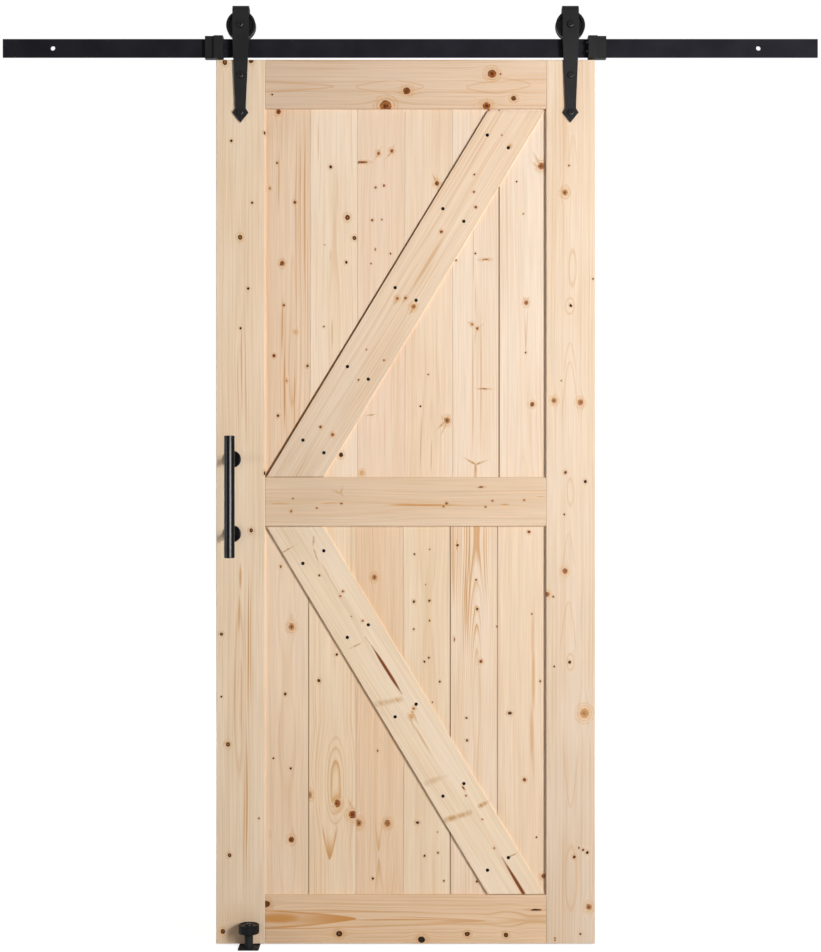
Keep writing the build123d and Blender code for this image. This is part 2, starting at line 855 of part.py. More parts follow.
def pieces():
    made = {"track_rail": track_rail()}
    for name, side in hanger_sides.items():
        made[f"{name}_stile"] = stile(side)
        made[f"{name}_hanger_strap"] = hanger_strap(side)
        made[f"{name}_wheel"] = wheel(side)
        made[f"{name}_bearing_outer_ring"] = outer_ring(side)
        made[f"{name}_bearing_balls"] = bearing_balls(side)
        made[f"{name}_stop_clamp"] = stop_clamp(side)
        made[f"{name}_stop_back_plate"] = stop_plate(side)
        made[f"{name}_stop_screws"] = stop_screws(side)
        made[f"{name}_stop_bumpers"] = stop_bumpers(side)
    for name in rail_tops:
        made[name] = frame_rail(name)
    for level, first_width in (("upper", upper_first_board), ("lower", lower_first_board)):
        for number, board in enumerate(boards(level, first_width), start=1):
            made[f"{level}_board_{number}"] = board
        made[f"{level}_brace"] = brace(level)
        screws = [place_screw(wood_screw(), place) for place in brace_screw_places(level)]
        made[f"{level}_brace_screws"] = Compound(children=screws)
    dowels = [dowel(shoulder, z, dowel_diameter, dowel_length) for shoulder, z in dowel_places()]
    made["frame_dowels"] = Compound(children=dowels)
    made["axle_bolts"] = both_sides(lambda side: [axle_bolt(side)])
    made["axle_nuts"] = both_sides(lambda side: [axle_nut(side)])
    made["axle_spacers"] = both_sides(axle_spacers)
    made["bearing_inner_rings"] = both_sides(lambda side: [inner_ring(side)])
    made["strap_bolts"] = both_sides(strap_bolts)
    made["strap_washers"] = both_sides(strap_washers)
    made["strap_nuts"] = both_sides(strap_nuts)
    made["handle_bar"] = handle_bar()
    for name, place in zip(("upper", "lower"), handle_places()):
        made[f"{name}_handle_post"] = handle_post(place)
    made["handle_screws"] = Compound(children=[handle_screw(place) for place in handle_places()])
    made["guide_base_plate"] = guide_base_plate()
    for row in guide_posts_y():
        made[f"{row}_guide_post"] = guide_post(row)
        made[f"{row}_guide_roller"] = guide_roller(row)
    made["guide_caps"] = Compound(children=[guide_cap(row) for row in guide_posts_y()])
    return made


os.makedirs("parts", exist_ok=True)
for node, piece in pieces().items():
    export_step(piece, f"parts/{node}.step")
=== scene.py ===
import math

import bpy
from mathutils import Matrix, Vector


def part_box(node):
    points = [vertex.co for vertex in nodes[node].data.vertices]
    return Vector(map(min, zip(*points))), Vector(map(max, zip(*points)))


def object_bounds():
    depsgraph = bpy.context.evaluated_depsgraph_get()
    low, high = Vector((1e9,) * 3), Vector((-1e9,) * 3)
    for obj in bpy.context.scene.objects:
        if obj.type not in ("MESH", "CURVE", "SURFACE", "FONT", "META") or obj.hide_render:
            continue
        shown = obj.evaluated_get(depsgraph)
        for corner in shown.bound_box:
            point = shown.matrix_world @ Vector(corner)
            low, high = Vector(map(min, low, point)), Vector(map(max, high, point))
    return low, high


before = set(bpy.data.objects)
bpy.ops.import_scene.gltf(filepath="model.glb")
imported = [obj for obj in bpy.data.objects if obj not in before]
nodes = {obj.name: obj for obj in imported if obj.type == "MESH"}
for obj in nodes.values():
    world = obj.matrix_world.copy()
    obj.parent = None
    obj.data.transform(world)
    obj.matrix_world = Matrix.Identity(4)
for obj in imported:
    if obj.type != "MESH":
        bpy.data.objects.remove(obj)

cadLow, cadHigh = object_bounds()
bpy.ops.object.select_all(action="DESELECT")
scene = bpy.context.scene
scene.view_settings.view_transform = "Standard"
print("frame loaded,", len(nodes), "nodes")

mm = 0.001

# where the leaf's edges lie in the photo, in pixels
photo = {
    "leafLeft": 216.2,
    "leafRight": 595.0,
    "leafTop": 59.8,
    "leafBottom": 943.7,
}
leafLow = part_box("left_stile")[0]
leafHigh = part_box("right_stile")[1]
pixelWide = (leafHigh.x - leafLow.x) / (photo["leafRight"] - photo["leafLeft"])
pixelHigh = (leafHigh.z - leafLow.z) / (photo["leafBottom"] - photo["leafTop"])


def photoPoint(px, py):
    x = leafLow.x + (px - photo["leafLeft"]) * pixelWide
    z = leafHigh.z - (py - photo["leafTop"]) * pixelHigh
    return Vector((x, 0, z))


def paint(red, green, blue):
    # a colour in 0 to 255, as the linear colour that a shader takes
    def linear(value):
        value = value / 255
        return value / 12.92 if value <= 0.04045 else ((value + 0.055) / 1.055) ** 2.4
    return (linear(red), linear(green), linear(blue), 1)


def tinted(tone, shares):
    return (tone[0] * shares[0], tone[1] * shares[1], tone[2] * shares[2], 1)


# small helpers for shader trees

def put(tree, kind, values=None, **settings):
    node = tree.nodes.new("ShaderNode" + kind)
    for name, value in settings.items():
        setattr(node, name, value)
    for key, value in (values or {}).items():
        if isinstance(value, bpy.types.NodeSocket):
            tree.links.new(value, node.inputs[key])
        else:
            node.inputs[key].default_value = value
    return node


def calc(tree, operation, *values, clamp=False):
    node = put(tree, "Math", dict(enumerate(values)), operation=operation, use_clamp=clamp)
    return node.outputs[0]


def calcVector(tree, operation, *values):
    node = put(tree, "VectorMath", dict(enumerate(values)), operation=operation)
    single = operation in ("DOT_PRODUCT", "LENGTH")
    return node.outputs["Value" if single else "Vector"]


def awayFrom(tree, value, place):
    return calc(tree, "ABSOLUTE", calc(tree, "SUBTRACT", value, place))


def ease(tree, value, start, end, low=0.0, high=1.0):
    values = {"Value": value, "From Min": start, "From Max": end, "To Min": low, "To Max": high}
    return put(tree, "MapRange", values, interpolation_type="SMOOTHSTEP").outputs[0]


def mixColour(tree, factor, first, second, blend="MIX"):
    node = put(tree, "Mix", {0: factor, 6: first, 7: second}, data_type="RGBA", blend_type=blend)
    return node.outputs[2]


def ramp(tree, value, stops):
    node = put(tree, "ValToRGB", {0: value})
    points = node.color_ramp.elements
    while len(points) < len(stops):
        points.new(1)
    for point, (place, colour) in zip(points, stops):
        point.position = place
        point.color = colour
    return node.outputs["Color"]


def greyRamp(tree, value, levels):
    return ramp(tree, value, [(place, (level, level, level, 1)) for place, level in levels])


def objectPosition(tree):
    return put(tree, "TexCoord").outputs["Object"]


def noise(tree, vector, scale, detail):
    return put(tree, "TexNoise", {"Vector": vector, "Scale": scale, "Detail": detail})


def stretchedNoise(tree, vector, stretch, detail):
    return noise(tree, calcVector(tree, "MULTIPLY", vector, stretch), 1.0, detail)


def colourShift(tree, texture):
    # a noise's colour as a shift either way
    return calcVector(tree, "SUBTRACT", texture.outputs["Color"], (0.5, 0.5, 0.5))


def lineNoise(tree, value, scale, shift):
    along = calc(tree, "MULTIPLY_ADD", value, scale, shift)
    return put(tree, "TexNoise", {"W": along, "Scale": 1.0, "Detail": 1.0}, noise_dimensions="1D").outputs[0]


def newMaterial(name):
    material = bpy.data.materials.new(name)
    material.use_nodes = True
    tree = material.node_tree
    return material, tree, tree.nodes["Principled BSDF"]


def addRelief(tree, shader, height, strength, distance):
    relief = put(tree, "Bump", {"Height": height, "Strength": strength, "Distance": distance})
    tree.links.new(relief.outputs[0], shader.inputs["Normal"])


def newGroup(name, vectors, floats, vectorsOut=(), floatsOut=("Sum",)):
    group = bpy.data.node_groups.new(name, "ShaderNodeTree")
    sockets = ((vectors, "INPUT", "Vector"), (floats, "INPUT", "Float"),
               (vectorsOut, "OUTPUT", "Vector"), (floatsOut, "OUTPUT", "Float"))
    for titles, way, kind in sockets:
        for title in titles:
            group.interface.new_socket(title, in_out=way, socket_type="NodeSocket" + kind)
    return group, group.nodes.new("NodeGroupInput").outputs, group.nodes.new("NodeGroupOutput").inputs


def useGroup(tree, group, values):
    return put(tree, "Group", values, node_tree=group).outputs


def wear(nodeNames, material):
    for name in nodeNames:
        piece = nodes[name]
        piece.data.materials.clear()
        piece.data.materials.append(material)


# a knot: how near a point is to it, how it pushes the fibres aside, and how dark it is

def buildKnotGroup():
    form = {"alongStretch": 0.5, "aside": (3.0, 0.5), "handOn": 1e-8}
    group, given, made = newGroup("knot", ("Plank", "Centre", "Size"), ("Dark", "Near", "Push", "Tone"),
                                  ("Plank",), ("Near", "Push", "Tone"))
    offset = calcVector(group, "SUBTRACT", given["Plank"], given["Centre"])
    scaled = calcVector(group, "MULTIPLY", offset, given["Size"])
    rho = calcVector(group, "LENGTH", scaled)
    wide = calcVector(group, "LENGTH", calcVector(group, "MULTIPLY", scaled, (form["alongStretch"], 1, 0)))
    aside = ease(group, wide, *form["aside"])
    across = put(group, "SeparateXYZ", {0: offset}).outputs["Y"]
    nearer = calc(group, "LESS_THAN", rho, given["Near"])
    tone = put(group, "Mix", {0: nearer, 2: given["Tone"], 3: given["Dark"]}, data_type="FLOAT").outputs[0]
    nearest = calc(group, "MINIMUM", rho, given["Near"])
    # the plank's position is handed on from knot to knot, so that they are worked out one after the other
    handOn = (form["handOn"],) * 3
    group.links.new(calcVector(group, "MULTIPLY_ADD", nearest, handOn, given["Plank"]), made["Plank"])
    group.links.new(nearest, made["Near"])
    group.links.new(calc(group, "MULTIPLY_ADD", across, aside, given["Push"]), made["Push"])
    group.links.new(tone, made["Tone"])
    return group


# the marks below are each laid over the sum of the marks before them

def addCover(group, given, made, cover):
    cover = calc(group, "MULTIPLY", cover, given["Strength"])
    group.links.new(calc(group, "MAXIMUM", cover, given["Sum"]), made["Sum"])


def ovalReach(group, given):
    offset = calcVector(group, "SUBTRACT", given["Plank"], given["Centre"])
    return calcVector(group, "LENGTH", calcVector(group, "MULTIPLY", offset, given["Size"]))


def opening(group, given, power):
    # share of the way from the tip to the wide end, distance from the middle line, half the width there
    aboveZero = 0.0001
    offset = put(group, "SeparateXYZ", {0: calcVector(group, "SUBTRACT", given["Plank"], given["Tip"])}).outputs
    run = calc(group, "DIVIDE", offset["X"], given["Length"])
    opened = calc(group, "POWER", calc(group, "MAXIMUM", run, aboveZero), power)
    half = calc(group, "MULTIPLY", opened, given["Width"])
    return run, calc(group, "ABSOLUTE", offset["Y"]), half


# a soft oval patch along the grain: resin, or a stretch with strong rings

def buildPatchGroup():
    group, given, made = newGroup("patch", ("Plank", "Centre", "Size"), ("Soft", "Strength", "Sum"))
    rho = ovalReach(group, given)
    inner = calc(group, "SUBTRACT", 1.0, given["Soft"])
    addCover(group, given, made, ease(group, rho, 1.0, inner))
    return group


# a flame of resin that runs to a point: solid at the tip, only outlined at the wide end

def buildWedgeGroup():
    form = {"power": 0.7, "inside": (1.08, 0.88), "outline": (0.55, 0.95), "solid": (0.9, 0.1), "tip": (0.0, 0.04),
            "end": (1.2, 0.7)}
    group, given, made = newGroup("wedge", ("Plank", "Tip"), ("Length", "Width", "Strength", "Sum"))
    run, aside, half = opening(group, given, form["power"])
    beside = calc(group, "DIVIDE", aside, half)
    inside = ease(group, beside, *form["inside"])
    filled = calc(group, "MAXIMUM", ease(group, beside, *form["outline"]), ease(group, run, *form["solid"]))
    ends = calc(group, "MULTIPLY", ease(group, run, *form["tip"]), ease(group, run, *form["end"]))
    addCover(group, given, made, calc(group, "MULTIPLY", calc(group, "MULTIPLY", inside, filled), ends))
    return group


# a stroke from one point to another that thins and fades on the way: whiskers beside knots, torn fibres, splits

def buildStrokeGroup():
    form = {"thin": (0.2, 1.0, 1.0, 0.55), "fade": (0.3, 1.0, 1.0, 0.2)}
    group, given, made = newGroup("stroke", ("Plank", "Start", "Reach", "Along"), ("Width", "Strength", "Sum"))
    offset = calcVector(group, "SUBTRACT", given["Plank"], given["Start"])
    offset = calcVector(group, "MULTIPLY", offset, (1, 1, 0))
    run = calc(group, "ADD", calcVector(group, "DOT_PRODUCT", offset, given["Along"]), 0.0, clamp=True)
    foot = calcVector(group, "MULTIPLY", given["Reach"], run)
    away = calcVector(group, "LENGTH", calcVector(group, "SUBTRACT", offset, foot))
    half = calc(group, "MULTIPLY", given["Width"], ease(group, run, *form["thin"]))
    cover = calc(group, "MULTIPLY", ease(group, away, half, 0.0), ease(group, run, *form["fade"]))
    addCover(group, given, made, cover)
    return group


# thin ring lines: a closed lens, and an arch that starts at a tip and opens along the grain

def buildOvalGroup():
    group, given, made = newGroup("oval", ("Plank", "Centre", "Size"), ("Line", "Strength", "Sum"))
    away = awayFrom(group, ovalReach(group, given), 1.0)
    addCover(group, given, made, ease(group, away, given["Line"], 0.0))
    return group


def buildArchGroup():
    form = {"power": 0.6, "tip": (-0.01, 0.02), "end": (1.15, 0.75)}
    group, given, made = newGroup("arch", ("Plank", "Tip"), ("Length", "Width", "Line", "Strength", "Sum"))
    run, aside, half = opening(group, given, form["power"])
    line = ease(group, awayFrom(group, aside, half), given["Line"], 0.0)
    ends = calc(group, "MULTIPLY", ease(group, run, *form["tip"]), ease(group, run, *form["end"]))
    addCover(group, given, made, calc(group, "MULTIPLY", line, ends))
    return group


knotGroup = buildKnotGroup()
patchGroup = buildPatchGroup()
wedgeGroup = buildWedgeGroup()
strokeGroup = buildStrokeGroup()
ovalGroup = buildOvalGroup()
archGroup = buildArchGroup()

# Pine: a pair is the start and end of a range, and two numbers after it are the levels that it gives
pine = {
    "seedShift": Vector((3.7, 1.3, 2.1)),    # seeds move each board to its own part of the patterns
    "swellSeed": 5.3,
    "jitterSeed": 2.9,
    "yearSeed": 7.7,
    "ragScale": 170,                         # ragged outlines of knots and strokes
    "rag": 3.2 * mm,
    "driftScale": (1.8, 9, 9),               # slow wander of the fibres across the board
    "fibreDrift": 7 * mm,
    "knotPush": 0.9,
    "swells": 2.2,
    "jitterScale": 70,
    "ringJitter": 0.8,
    "ringProfile": [(0, 0.5), (0.1, 0.0), (0.5, 0.0), (0.78, 0.4), (0.91, 1.0), (1.0, 0.5)],
    "yearProfile": [(0, 0.2), (0.6, 0.5), (1.0, 1.0)],
    "cloudScale": (2.6, 14, 14),
    "cloudRings": (0.35, 0.65, 0.45, 1.15),
    "strongSoft": 0.8,
    "ringStrength": 2.6,
    "ringLimit": 0.9,
    "lateWood": (0.76, 0.54, 0.31),
    "fibreScale": (6, 360, 360),
    "streakScale": (1.5, 60, 60),
    "cloudMix": (0.3, 0.7),
    "cloud": (0.965, 0.93, 0.885),
    "streakMix": (0.52, 0.75, 0.0, 0.5),
    "streak": (0.90, 0.80, 0.66),
    "fibreShade": (0.25, 0.75, 0.93, 1.045),
    "resinSoft": 0.7,
    "resin": paint(200, 136, 62),
    "smearFibre": (0.32, 0.62, 0.3, 1.25),
    "smear": paint(192, 138, 70),
    "split": paint(128, 62, 14),
    "outline": 1.1,                          # half width of a thin ring line, in pixels
    "roughness": (0.2, 0.8, 0.52, 0.66),
    "specular": 0.1,
    "fibreBump": 0.12,
    "fibreHeight": 0.4 * mm,
}
# ranges across a knot are in shares of its radius, and those that end in Dark go by its darkness
knotLook = {
    "far": 9.0,                              # where there is no knot
    "stretch": 1.1,                          # length over width
    "glow": (2.2, 0.95, 0.0, 0.4),
    "halo": (0.90, 0.70, 0.46),
    "patchy": (-0.12, 0.08),
    "lines": [(1.5, 0.7), (2.05, 0.5)],      # radius and strength of the thin rings round it
    "lineWidth": (0.24, 0.04),
    "linePatchy": (0, 1, 0.4, 1.0),
    "heart": (0.75, 0.2),
    "heartDark": (1.0, 1.4, 0.0, 0.85),
    "branchPaleDark": (0.1, 0.3),
    "branchDeepDark": (0.95, 0.7),
    "core": (0.75, 0.3, 0.0, 0.9),
    "corePatchy": (0, 1, 0.6, 1.0),
    "rim": 0.92,
    "rimWidth": (0.34, 0.05),
    "rimDark": (0.1, 0.55, 0.1, 0.85),
    "edge": (1.12, 0.86),
    "pale": paint(222, 178, 124),
    "brown": paint(180, 102, 36),
    "deep": paint(74, 20, 2),
    "dark": paint(28, 8, 2),
}
# painted light in thin lines: shade in the seams and beside the braces, and highlights on edges that catch the light
paintedLightLook = {
    "seamShade": (0.30, 0.20, 0.12),
    "edge": (1.14, 1.2, 1.3),
    "seamWidth": (2.2 * mm, 0.7 * mm),
    "braceShadow": (0.30, 0.15, 0.04),
    "frontDepth": (4 * mm, 2 * mm),
}


def plankPlace(board):
    low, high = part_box(board["node"])
    centre = (low + high) / 2
    centre.y = low.y
    turn = math.radians(board.get("lean", 0))
    along = Vector((math.sin(turn), 0, math.cos(turn)))
    across = Vector((math.cos(turn), 0, -math.sin(turn)))
    return centre, along, across


def onPlank(place, px, py):
    centre, along, across = place
    spot = photoPoint(px, py) - centre
    return Vector((spot.dot(along), spot.dot(across), 0))


def ovalValues(place, px, py, halfLength, halfWidth, strength):
    size = (1 / (halfLength * pixelHigh), 1 / (halfWidth * pixelWide), 0)
    return {"Centre": onPlank(place, px, py), "Size": size, "Strength": strength}


def flameValues(place, tipX, tipY, endX, endY, halfWidth, strength):
    tip = onPlank(place, tipX, tipY)
    length = onPlank(place, endX, endY).x - tip.x
    return {"Tip": tip, "Length": length, "Width": halfWidth * pixelWide, "Strength": strength}


def strokeValues(place, startX, startY, endX, endY, halfWidth, strength):
    start = onPlank(place, startX, startY)
    reach = onPlank(place, endX, endY) - start
    return {"Start": start, "Reach": reach, "Along": reach / reach.length_squared, "Width": halfWidth * pixelWide,
            "Strength": strength}


def chain(tree, group, plank, marks, total=0.0):
    for mark in marks:
        total = useGroup(tree, group, {"Plank": plank, **mark, "Sum": total})["Sum"]
    return total


def patchChain(tree, plank, place, patches, soft):
    # each patch is px, py, half length and half width in pixels, strength
    return chain(tree, patchGroup, plank, [{**ovalValues(place, *patch), "Soft": soft} for patch in patches])


def wedgeChain(tree, plank, place, wedges):
    # each wedge is the tip's px and py, the wide end's px and py, half the wide end's width, strength
    return chain(tree, wedgeGroup, plank, [flameValues(place, *wedge) for wedge in wedges])


def strokeChain(tree, plank, place, strokes):
    # each stroke is px and py where it is darkest, px and py where it ends, half its width in pixels, strength
    return chain(tree, strokeGroup, plank, [strokeValues(place, *stroke) for stroke in strokes])


def outlineChain(tree, plank, place, ovals, arches):
    # each oval is given like a patch, and each arch like a wedge
    marks = [{**ovalValues(place, *oval), "Line": pine["outline"] / oval[3]} for oval in ovals]
    total = chain(tree, ovalGroup, plank, marks)
    marks = [{**flameValues(place, *arch), "Line": pine["outline"] * pixelWide} for arch in arches]
    return chain(tree, archGroup, plank, marks, total)


def knotChain(tree, plank, place, knots):
    # each knot is px, py, radius in pixels, darkness and, where it isn't nearly round, length over width
    near, push, dark = knotLook["far"], 0.0, 0.0
    for px, py, radius, darkness, *stretch in knots:
        size = radius * pixelWide
        length = size * (stretch[0] if stretch else knotLook["stretch"])
        values = {"Plank": plank, "Centre": onPlank(place, px, py), "Size": (1 / length, 1 / size, 0),
                  "Dark": darkness, "Near": near, "Push": push, "Tone": dark}
        knot = useGroup(tree, knotGroup, values)
        plank, near, push, dark = knot["Plank"], knot["Near"], knot["Push"], knot["Tone"]
    return near, push, dark


def pithDepth(tree, board, place, u, depth):
    # slow swells of the pith behind the face, and the lens shapes where it comes nearer
    swell = lineNoise(tree, u, board.get("swells", pine["swells"]), board["seed"] * pine["swellSeed"])
    total = calc(tree, "MULTIPLY_ADD", swell, board["wobble"] * mm, depth)
    total = calc(tree, "ADD", total, (board["pith"][1] - board["wobble"] / 2) * mm)
    for px, py, halfLength, amount in board.get("lenses", []):
        away = awayFrom(tree, u, onPlank(place, px, py).x)
        total = calc(tree, "ADD", total, ease(tree, away, halfLength * pixelHigh, 0.0, 0.0, -amount * mm))
    return total


def growthRings(tree, board, behind, side, cloudPlace, strongPlace, place):
    # rings round a pith that lies behind the face and wanders along the board
    square = calc(tree, "MULTIPLY", behind, behind)
    radius = calc(tree, "SQRT", calc(tree, "MULTIPLY_ADD", side, side, square))
    jitter = lineNoise(tree, radius, pine["jitterScale"], board["seed"] * pine["jitterSeed"])
    turns = calc(tree, "MULTIPLY", radius, 1 / (board["ring"] * mm))
    turns = calc(tree, "MULTIPLY_ADD", jitter, pine["ringJitter"] * 2, turns)
    within = calc(tree, "FRACT", turns)
    year = calc(tree, "FLOOR", turns)
    lateWood = greyRamp(tree, within, pine["ringProfile"])
    year = calc(tree, "ADD", year, board["seed"] * pine["yearSeed"])
    yearly = put(tree, "TexWhiteNoise", {"W": year}, noise_dimensions="1D").outputs["Value"]
    yearly = greyRamp(tree, yearly, pine["yearProfile"])
    cloud = stretchedNoise(tree, cloudPlace, pine["cloudScale"], detail=2.0).outputs[0]
    rings = calc(tree, "MULTIPLY", lateWood, yearly)
    rings = calc(tree, "MULTIPLY", rings, ease(tree, cloud, *pine["cloudRings"]))
    strong = patchChain(tree, strongPlace, place, board.get("strong", []), pine["strongSoft"])
    contrast = calc(tree, "MULTIPLY", calc(tree, "ADD", strong, board["contrast"]), pine["ringStrength"])
    rings = calc(tree, "MINIMUM", calc(tree, "MULTIPLY", rings, contrast), pine["ringLimit"])
    return rings, cloud


def knotColour(tree, colour, tone, near, dark, ragged):
    # dark pins, orange branches with a ragged dark rim, and rings with a pale heart (darkness over 1)
    look = knotLook
    colour = mixColour(tree, ease(tree, near, *look["glow"]), colour, tinted(tone, look["halo"]))
    patchy = ease(tree, put(tree, "SeparateXYZ", {0: ragged}).outputs["Y"], *look["patchy"])
    lines = [ease(tree, awayFrom(tree, near, radius), *look["lineWidth"], 0.0, strength)
             for radius, strength in look["lines"]]
    lines = calc(tree, "MULTIPLY", calc(tree, "MAXIMUM", *lines), ease(tree, patchy, *look["linePatchy"]))
    colour = mixColour(tree, lines, colour, tinted(tone, pine["lateWood"]))
    body = ramp(tree, dark, [(0, look["pale"]), (0.5, look["brown"]), (1.0, look["dark"])])
    heart = calc(tree, "MULTIPLY", ease(tree, near, *look["heart"]), ease(tree, dark, *look["heartDark"]))
    body = mixColour(tree, heart, body, look["brown"])
    branch = calc(tree, "MULTIPLY", ease(tree, dark, *look["branchPaleDark"]),
                  ease(tree, dark, *look["branchDeepDark"]))
    core = calc(tree, "MULTIPLY", ease(tree, near, *look["core"]), branch)
    core = calc(tree, "MULTIPLY", core, ease(tree, patchy, *look["corePatchy"]))
    body = mixColour(tree, core, body, look["deep"])
    rim = ease(tree, awayFrom(tree, near, look["rim"]), *look["rimWidth"])
    rim = calc(tree, "MULTIPLY", rim, ease(tree, dark, *look["rimDark"]))
    body = mixColour(tree, calc(tree, "MULTIPLY", rim, patchy), body, look["dark"])
    return mixColour(tree, ease(tree, near, *look["edge"]), colour, body)


def paintedLightColour(tree, board, centre, colour, tone, fromCentre, v, w):
    # painted shade: a dark line along each seam between the planks, where shade falls in the joint; where the
    # strength is below 0, a painted highlight, a pale line where an edge catches the light
    for px, strength in board.get("seams", []):
        away = awayFrom(tree, v, (photoPoint(px, 0) - centre).x)
        line = ease(tree, away, *paintedLightLook["seamWidth"], 0.0, abs(strength))
        colour = mixColour(tree, line, colour, tinted(tone, paintedLightLook["seamShade" if strength > 0 else "edge"]))
    # painted shadow: a dark line on the boards where a brace casts its shadow beside its edge, from one point to
    # another, on the front of the boards alone
    if "braceShadow" in board:
        startX, startY, endX, endY, halfWidth, strength = board["braceShadow"]
        start = photoPoint(startX, startY) - centre
        run = (photoPoint(endX, endY) - centre - start).normalized()
        fromStart = calcVector(tree, "SUBTRACT", fromCentre, start)
        away = calc(tree, "ABSOLUTE", calcVector(tree, "DOT_PRODUCT", fromStart, (run.z, 0, -run.x)))
        half = halfWidth * pixelWide
        line = ease(tree, away, half, half / 2)
        onFront = ease(tree, w, *paintedLightLook["frontDepth"], 0.0, strength)
        colour = mixColour(tree, calc(tree, "MULTIPLY", line, onFront), colour, tinted(tone, paintedLightLook["braceShadow"]))
    return colour


def pineMaterial(board):
    material, tree, shader = newMaterial("pine_" + board["node"])
    place = plankPlace(board)
    centre, along, across = place
    tone = paint(*board["tone"])
    shift = pine["seedShift"] * board["seed"]
    fromCentre = calcVector(tree, "SUBTRACT", objectPosition(tree), centre)
    u = calcVector(tree, "DOT_PRODUCT", fromCentre, along)
    v = calcVector(tree, "DOT_PRODUCT", fromCentre, across)
    w = calcVector(tree, "DOT_PRODUCT", fromCentre, (0, 1, 0))
    plank = put(tree, "CombineXYZ", {0: u, 1: v, 2: w}).outputs[0]
    seeded = calcVector(tree, "ADD", plank, shift)

    # knots, placed one by one, with slightly ragged outlines
    ragged = colourShift(tree, noise(tree, seeded, pine["ragScale"], detail=1.0))
    raggedPlank = calcVector(tree, "MULTIPLY_ADD", ragged, (pine["rag"], pine["rag"], 0), plank)
    near, push, dark = knotChain(tree, raggedPlank, place, board["knots"])

    # fibres that wander across the board and bend round the knots, and the rings
    drift = colourShift(tree, stretchedNoise(tree, seeded, pine["driftScale"], detail=2.0))
    drifted = calcVector(tree, "MULTIPLY_ADD", drift, (0, pine["fibreDrift"] * 2, pine["fibreDrift"]), plank)
    parts = put(tree, "SeparateXYZ", {0: drifted}).outputs
    side = calc(tree, "MULTIPLY_ADD", push, -pine["knotPush"], parts["Y"])
    side = calc(tree, "SUBTRACT", side, board["pith"][0] * mm)
    behind = pithDepth(tree, board, place, u, parts["Z"])
    rings, cloud = growthRings(tree, board, behind, side, seeded, drifted, place)

    # fine fibres, broad streaks and slow changes of tone, and on some boards a painted shade along their length
    bent = put(tree, "CombineXYZ", {0: u, 1: side, 2: parts["Z"]}).outputs[0]
    bent = calcVector(tree, "ADD", bent, shift)
    fibre = stretchedNoise(tree, bent, pine["fibreScale"], detail=2.0).outputs[0]
    streak = stretchedNoise(tree, bent, pine["streakScale"], detail=3.0).outputs[0]
    colour = mixColour(tree, ease(tree, cloud, *pine["cloudMix"]), tone, tinted(tone, pine["cloud"]))
    colour = mixColour(tree, ease(tree, streak, *pine["streakMix"]), colour, tinted(tone, pine["streak"]))
    colour = mixColour(tree, rings, colour, tinted(tone, pine["lateWood"]))
    shade = ease(tree, fibre, *pine["fibreShade"])
    # painted shade: a board with a fade grows darker towards its lower or left end, as the light falls off there
    if "fade" in board:
        low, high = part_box(board["node"])
        half = max(high - low) / 2
        shade = calc(tree, "MULTIPLY", shade, ease(tree, u, -half, half, board["fade"], 1.0))
    colour = mixColour(tree, 1.0, colour, shade, "MULTIPLY")

    # resin and flames, thin ring lines, bark smears and splits
    resin = patchChain(tree, drifted, place, board.get("resin", []), pine["resinSoft"])
    flame = wedgeChain(tree, drifted, place, board.get("wedges", []))
    colour = mixColour(tree, calc(tree, "MAXIMUM", resin, flame), colour, pine["resin"])
    outline = outlineChain(tree, drifted, place, board.get("ovals", []), board.get("arches", []))
    colour = mixColour(tree, outline, colour, tinted(tone, pine["lateWood"]))
    smear = strokeChain(tree, raggedPlank, place, board.get("strokes", []))
    smear = calc(tree, "MULTIPLY", smear, ease(tree, fibre, *pine["smearFibre"]), clamp=True)
    colour = mixColour(tree, smear, colour, pine["smear"])
    split = strokeChain(tree, plank, place, board.get("splits", []))
    colour = mixColour(tree, split, colour, pine["split"])
    colour = knotColour(tree, colour, tone, near, dark, ragged)
    colour = paintedLightColour(tree, board, centre, colour, tone, fromCentre, v, w)

    tree.links.new(colour, shader.inputs["Base Color"])
    tree.links.new(ease(tree, fibre, *pine["roughness"]), shader.inputs["Roughness"])
    shader.inputs["Specular IOR Level"].default_value = pine["specular"]
    addRelief(tree, shader, fibre, pine["fibreBump"], pine["fibreHeight"])
    wear([board["node"]], material)


# Frame of the leaf

